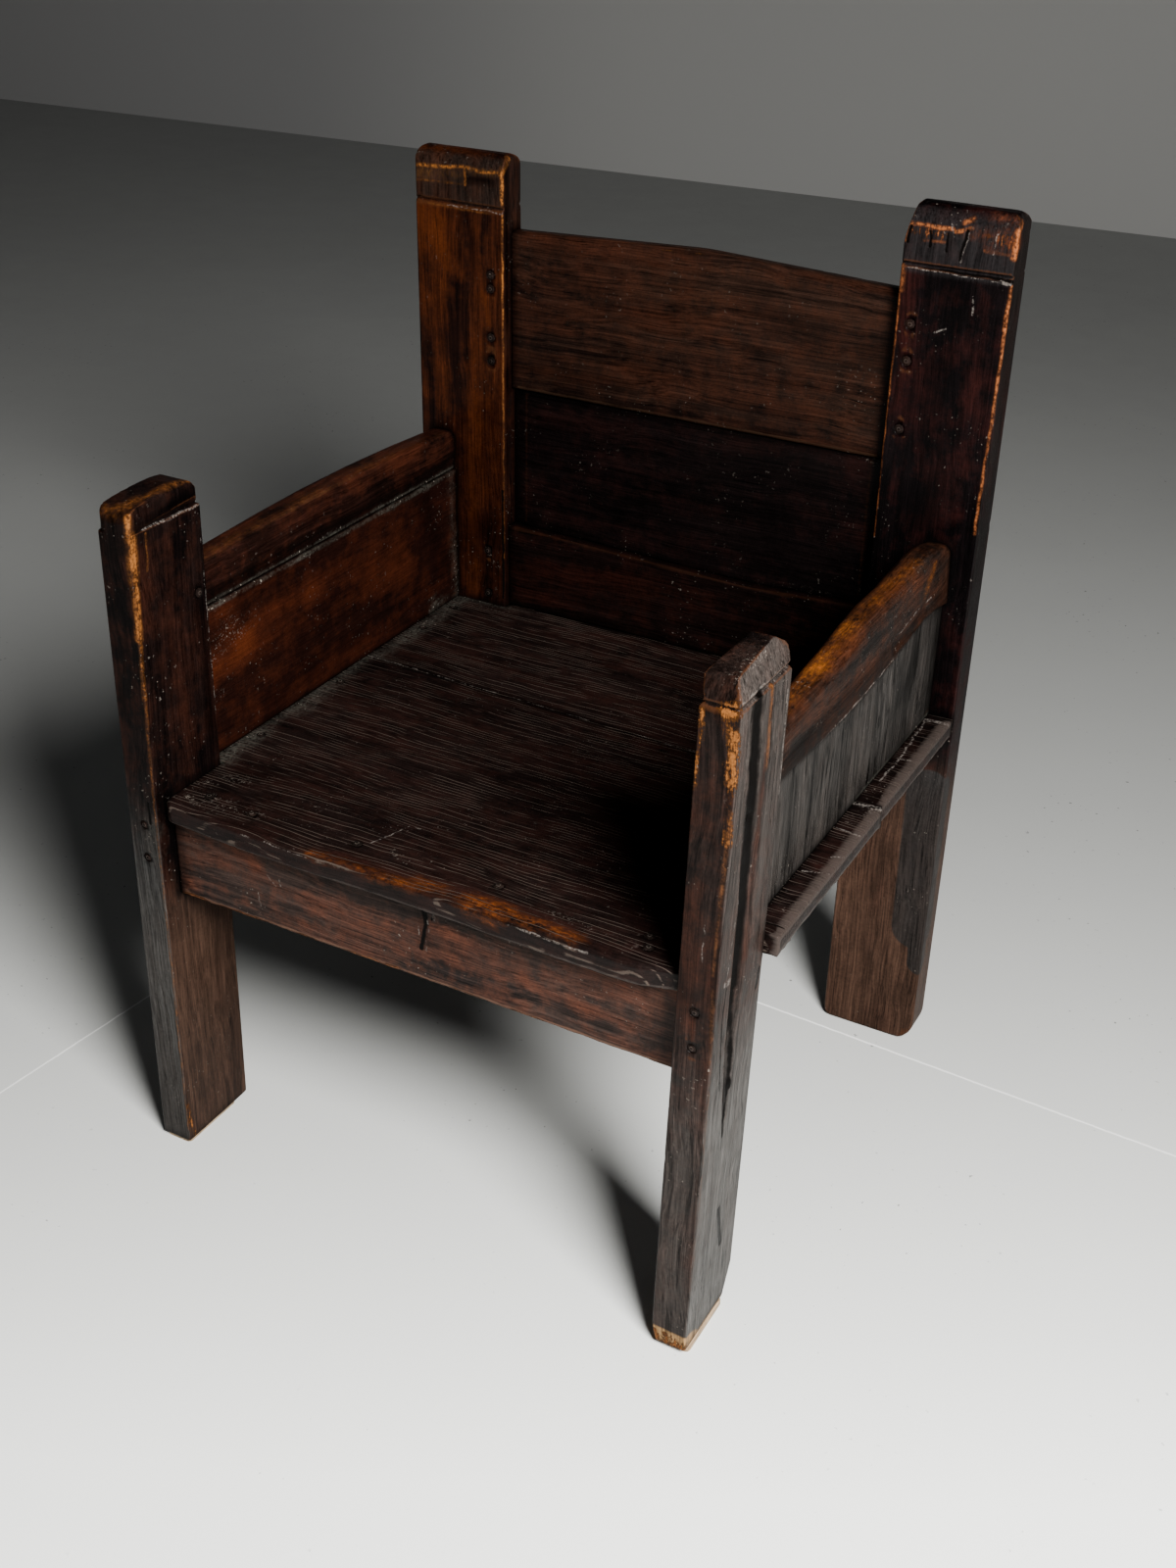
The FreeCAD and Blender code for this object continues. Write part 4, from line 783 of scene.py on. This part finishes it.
# Side panels: thin oak boards that stand on the ends of the seat, grooved into
# the posts and under the arm rails.
left_panel_oak = waxed_oak(
    "left_panel_oak", along=1, dark=(0.003, 0.0012, 0.0009), brown=(0.0095, 0.0028, 0.0018),
    red=(0.032, 0.0072, 0.0026), share=0.12, bands=0.3, clouds=0.55, fibres=0.45, flecks=0.2, cracked=0.15,
    painted_sheen_and_shade=[dry_left_fill])
aged("left_side_panel", left_panel_oak, along=1, steps=(7, 2.6), seed=71,
     red_and_painted_shine=[((-278, -185, 505), (-278, -130, 520), 26, 1.0), ((-278, -120, 530), (-278, 20, 535), 30, 0.35),
           ((-278, 40, 520), (-278, 150, 505), 34, 0.4)],
     dusty=[((-278, -190, 573), (-278, 250, 573), 3.5, 1.2), ((-278, 240, 570), (-278, 250, 430), 12, 0.7),
            ((-278, 200, 428), (-278, 255, 424), 12, 0.8)],
     scuffed=[((-278, -180, 530), (-278, -125, 548), 20, 1.0),
              ((-278, -180, 482), (-278, -165, 478), 8, 0.7)],
     black=[((-278, 135, 512), (-278, 138, 508), 12, 0.8), ((-278, -100, 440), (-278, 60, 445), 26, 0.5),
            ((-278, 190, 560), (-278, 220, 470), 26, 0.6)])
right_panel_oak = waxed_oak(
    "right_panel_oak", along=2, dark=(0.0052, 0.0047, 0.0043), brown=(0.028, 0.0252, 0.0233),
    red=(0.0145, 0.0108, 0.009), share=0.05, clouds=0.4, fibres=1.2, cracked=0.85)
aged("right_side_panel", right_panel_oak, along=1, steps=(7, 2.6), seed=73,
     black=[((297, 240, 540), (297, 60, 425), 30, 0.6), ((297, 250, 560), (297, 250, 430), 50, 0.7)],
     dusty=[((297, 40, 422), (297, 250, 422), 3, 1.0)])

# Arm rails: oak rails with a rounded top, the right one a heavier, crooked one
# with a hump behind its middle. Forearms have rubbed their tops.
left_arm_oak = waxed_oak(
    "left_arm_oak", along=1, dark=(0.0026, 0.0013, 0.001), brown=(0.0105, 0.0036, 0.0026),
    red=(0.022, 0.006, 0.003), share=0.15, flecks=0.16, edge=0.9, gold=(0.034, 0.0125, 0.0045),
    painted_sheen_and_shade=[dry_left_fill], edge_wear_and_highlight=(0.06, 0.024, 0.0095), line_colour=(0.085, 0.036, 0.015),
    worn_lines=[((-282.5, -196, 624), (-283, 60, 626), 4, 0.5),
                ((-283, 60, 626), (-283, 240, 626), 3, 0.4)])
aged("left_arm_rail", left_arm_oak, along=1, steps=(6, 2.4), seed=79,
     polished=[((-288, -196, 626), (-288, 0, 627), 10, 0.9), ((-288, 0, 627), (-288, 240, 627), 9, 0.55)],
     red_and_painted_shine=[((-292, -196, 620), (-290, 200, 626), 18, 1.0)],
     dusty=[((-281, -190, 577), (-281, 250, 577), 3, 1.0)])
right_arm_oak = waxed_oak(
    "right_arm_oak", along=1, dark=(0.0026, 0.0016, 0.0013), brown=(0.0105, 0.0055, 0.0038),
    red=(0.026, 0.0078, 0.0032), share=0.25, bands=0.5, orange=(0.088, 0.035, 0.0085),
    gold=(0.085, 0.0265, 0.005), wax=0.1, gloss=0.34, lift=0.6, cracked=0.45,
    # Painted sheen on the outer face
    painted_sheen_and_shade=[(0, 1, 0.4, 0.9, (0.0135, 0.0115, 0.0105), 0.7)],
    pale_lines_and_highlights=[((300.5, 99, 568), (298.5, 169, 574), 1.8), ((298.5, 169, 574), (300, 199, 573), 1.8),
               ((301, 101, 549), (300, 184, 541), 1.6), ((300, 184, 541), (299, 250, 556), 1.6),
               ((301.8, -190, 541), (301.8, 15, 544), 2.6), ((301.8, 15, 544), (301.8, 101, 548), 2.2),
               ((290, 90, 608), (286, 100, 612), 2), ((294, 20, 603), (298, 34, 598), 1.6)])
aged("right_arm_rail", right_arm_oak, along=1, steps=(6, 2.4), seed=83, dents=120, wave=0.8,
     polished=[((280, -196, 590), (280, -92, 597), 17, 1.15), ((281, -92, 597), (283, 29, 611), 15, 1.05),
               ((283, 29, 611), (285, 134, 615), 14, 0.85), ((286, 134, 615), (288, 175, 617), 12, 0.6),
               ((297, 180, 582), (298, 206, 603), 8, 0.9)],
     red_and_painted_shine=[((288, -196, 587), (290, 120, 610), 20, 0.9), ((296, 150, 606), (298, 170, 600), 12, 0.9)],
     black=[((296, -60, 585), (299, 60, 590), 12, 0.6), ((283, 60, 613), (288, 90, 612), 7, 0.5),
            ((300, -190, 560), (300, -60, 562), 14, 0.6)],
     scuffed=[((290, 20, 606), (293, 110, 606), 8, 0.6), ((298, -150, 572), (300, -60, 560), 6, 0.5)],
     gouged=[((301.8, 105, 560), (301.8, 185, 562), 9, 3)])

# Seat: two wide oak boards pegged to the rail and the bearers, their ends run
# past the side panels as ledges. Sitting has raised the grain.
seat_oak = waxed_oak(
    "seat_oak", along=0, dark=(0.0021, 0.0013, 0.0012), brown=(0.0078, 0.0045, 0.004),
    red=(0.0105, 0.004, 0.0031), share=0.2, bands=0.35, clouds=0.9, fibres=0.7, edge=0.6,
    edge_wear_and_highlight=(0.04, 0.031, 0.027), wax=0.06, flecks=0.2, lift=0.6, combed=True, cracked=0.2,
    gold=(0.062, 0.0165, 0.0034),
    # Painted shade on the boards' front face, and painted light on the ledge ends that face right
    painted_sheen_and_shade=[(1, -1, 0.3, 0.9, (0.0045, 0.0036, 0.0033), 0.9),
            (0, 1, 0.3, 0.9, (0.026, 0.0215, 0.019), 0.95), dry_left_fill, dry_back_fill],
    cuts=[((296, -180, 420), (325, -181, 420), 1.8), ((296, 41, 420), (325, 48.5, 420), 2.5)],
    # The right ledge, the joint, scratches, and a painted highlight along the front edge
    pale_lines_and_highlights=[((299, 236, 420), (304, 150, 420), 2.2), ((304, 150, 420), (303, 96, 420), 2.2),
               ((299, 238, 420), (323, 242, 420), 6), ((299, 256, 420), (323, 260, 420), 3),
               ((302, 146, 420), (325, 153, 420), 2.4), ((297, 43, 420), (324, 46, 420), 6),
               ((298, -6, 420), (325, -9, 420), 2.4), ((312, -57, 420), (325, -50, 420), 1.8),
               ((301, -90, 420), (325, -83, 420), 2.2), ((-296, 69, 420), (-60, 62.5, 420), 1.0),
               ((-60, 62.5, 420), (200, 53, 420), 0.8), ((-55, -247, 420), (-49, -227, 420), 1.6),
               ((-49, -227, 420), (-42, -204, 420), 1.4), ((-42, -204, 420), (-30, -203, 420), 1.2),
               ((10, -291, 413), (115, -291.5, 416), 1.6), ((115, -291.5, 416), (192, -292, 415), 2),
               ((-290, -290, 417), (10, -291, 415), 1.4)])
aged("front_seat_board", seat_oak, along=0, steps=(7, 2.3), seed=89,
     polished=[((-95, -287, 420), (-60, -286, 420), 9, 0.5), ((-60, -285, 420), (20, -286, 420), 10, 0.65),
               ((20, -282, 420), (105, -279, 420), 16, 1.15),
               ((105, -279, 420), (175, -281, 420), 12, 0.95)],
     red_and_painted_shine=[((-70, -279, 420), (60, -272, 420), 12, 1.2), ((40, -272, 420), (160, -276, 420), 16, 1.4)],
     # The first black patch is a painted shadow of the right arm and front right post over the seat's right
     # part
     black=[((200, -200, 420), (270, 60, 420), 70, 0.7), ((311, -40, 420), (311, 60, 420), 15, 0.7),
            ((-250, -240, 420), (-200, -180, 420), 30, 0.5)],
     dusty=[((-268, -196, 420), (-278, 68, 420), 17, 1.1)],
     scuffed=[((-262, -262, 420), (-200, -262, 420), 18, 0.8),
              ((-200, -262, 420), (-110, -250, 420), 13, 0.5),
              ((-258, -240, 420), (-225, -215, 420), 16, 0.7), ((-30, -246, 420), (-6, -256, 420), 7, 1.1),
              ((140, -262, 420), (215, -264, 420), 9, 0.6), ((309, -158, 420), (316, -148, 420), 8, 1.4),
              ((304, 10, 420), (318, 40, 420), 14, 0.7), ((-140, -222, 420), (-110, -214, 420), 9, 0.5)])
aged("rear_seat_board", seat_oak, along=0, steps=(7, 2.4), seed=97,
     # The first black patch carries that painted shadow over the rear board
     black=[((200, 60, 420), (262, 250, 420), 60, 0.7), ((312, 60, 420), (312, 285, 420), 14, 1.0)],
     dusty=[((-268, 70, 420), (-268, 250, 420), 15, 1.1), ((-270, 252, 420), (-150, 255, 420), 12, 0.8)],
     scuffed=[((312, 90, 420), (312, 120, 420), 10, 0.7), ((-250, 240, 420), (-100, 250, 420), 12, 0.4)])

# Pegs: cleft oak pegs that have worked a little proud, their ends worn to low
# domes, with pale rims painted on as a rim highlight.
peg_oak = waxed_oak("peg_oak", along=2, dark=(0.0022, 0.0016, 0.0014), brown=(0.0085, 0.006, 0.0052),
                    red=(0.008, 0.004, 0.003), edge=1.0, edge_wear_and_highlight=(0.045, 0.034, 0.028), flecks=0.5)
seat_peg_oak = waxed_oak("seat_peg_oak", along=2, dark=(0.0022, 0.0016, 0.0014),
                         brown=(0.009, 0.0065, 0.0055), red=(0.008, 0.005, 0.004), edge=1.0,
                         edge_wear_and_highlight=(0.085, 0.072, 0.06), flecks=0.5)
rim_width, dome_width, dome_rise = 1.0 * mm, 1.4 * mm, 0.5 * mm
for node in ("crest_pegs", "lower_back_pegs", "front_rail_pegs", "arm_rail_pegs", "seat_pegs"):
    pegs = merged(node)
    rim_highlight_mark = pegs.verts.layers.float.new("arris")
    ends = [face for face in pegs.faces if len(face.verts) > 5]
    rims = [(vert, face.normal.copy()) for face in ends for vert in face.verts]
    bmesh.ops.inset_individual(pegs, faces=ends, thickness=rim_width)
    inner = {vert for face in ends for vert in face.verts}
    bmesh.ops.inset_individual(pegs, faces=ends, thickness=dome_width)
    for vert, outward in rims:
        vert.co -= outward * dome_rise
    for vert in inner:
        vert[rim_highlight_mark] = 0.9
    mesh = bpy.data.meshes.new("worn_" + node)
    pegs.to_mesh(mesh)
    pegs.free()
    mesh.shade_smooth()
    mesh.set_sharp_from_angle(angle=math.radians(50))
    mesh.materials.append(seat_peg_oak if node == "seat_pegs" else peg_oak)
    put_in_place(mesh, node)

# Foot pads: thin slips of bare wood under the two front feet, worn pale by the
# floor. Their shape is the solids' own.
pad_wood = waxed_oak("pad_wood", along=1, dark=(0.16, 0.12, 0.08), brown=(0.3, 0.22, 0.14),
                     red=(0.3, 0.2, 0.12), flecks=0)
finish_solids(("front_left_foot_pad", "front_right_foot_pad"), pad_wood)
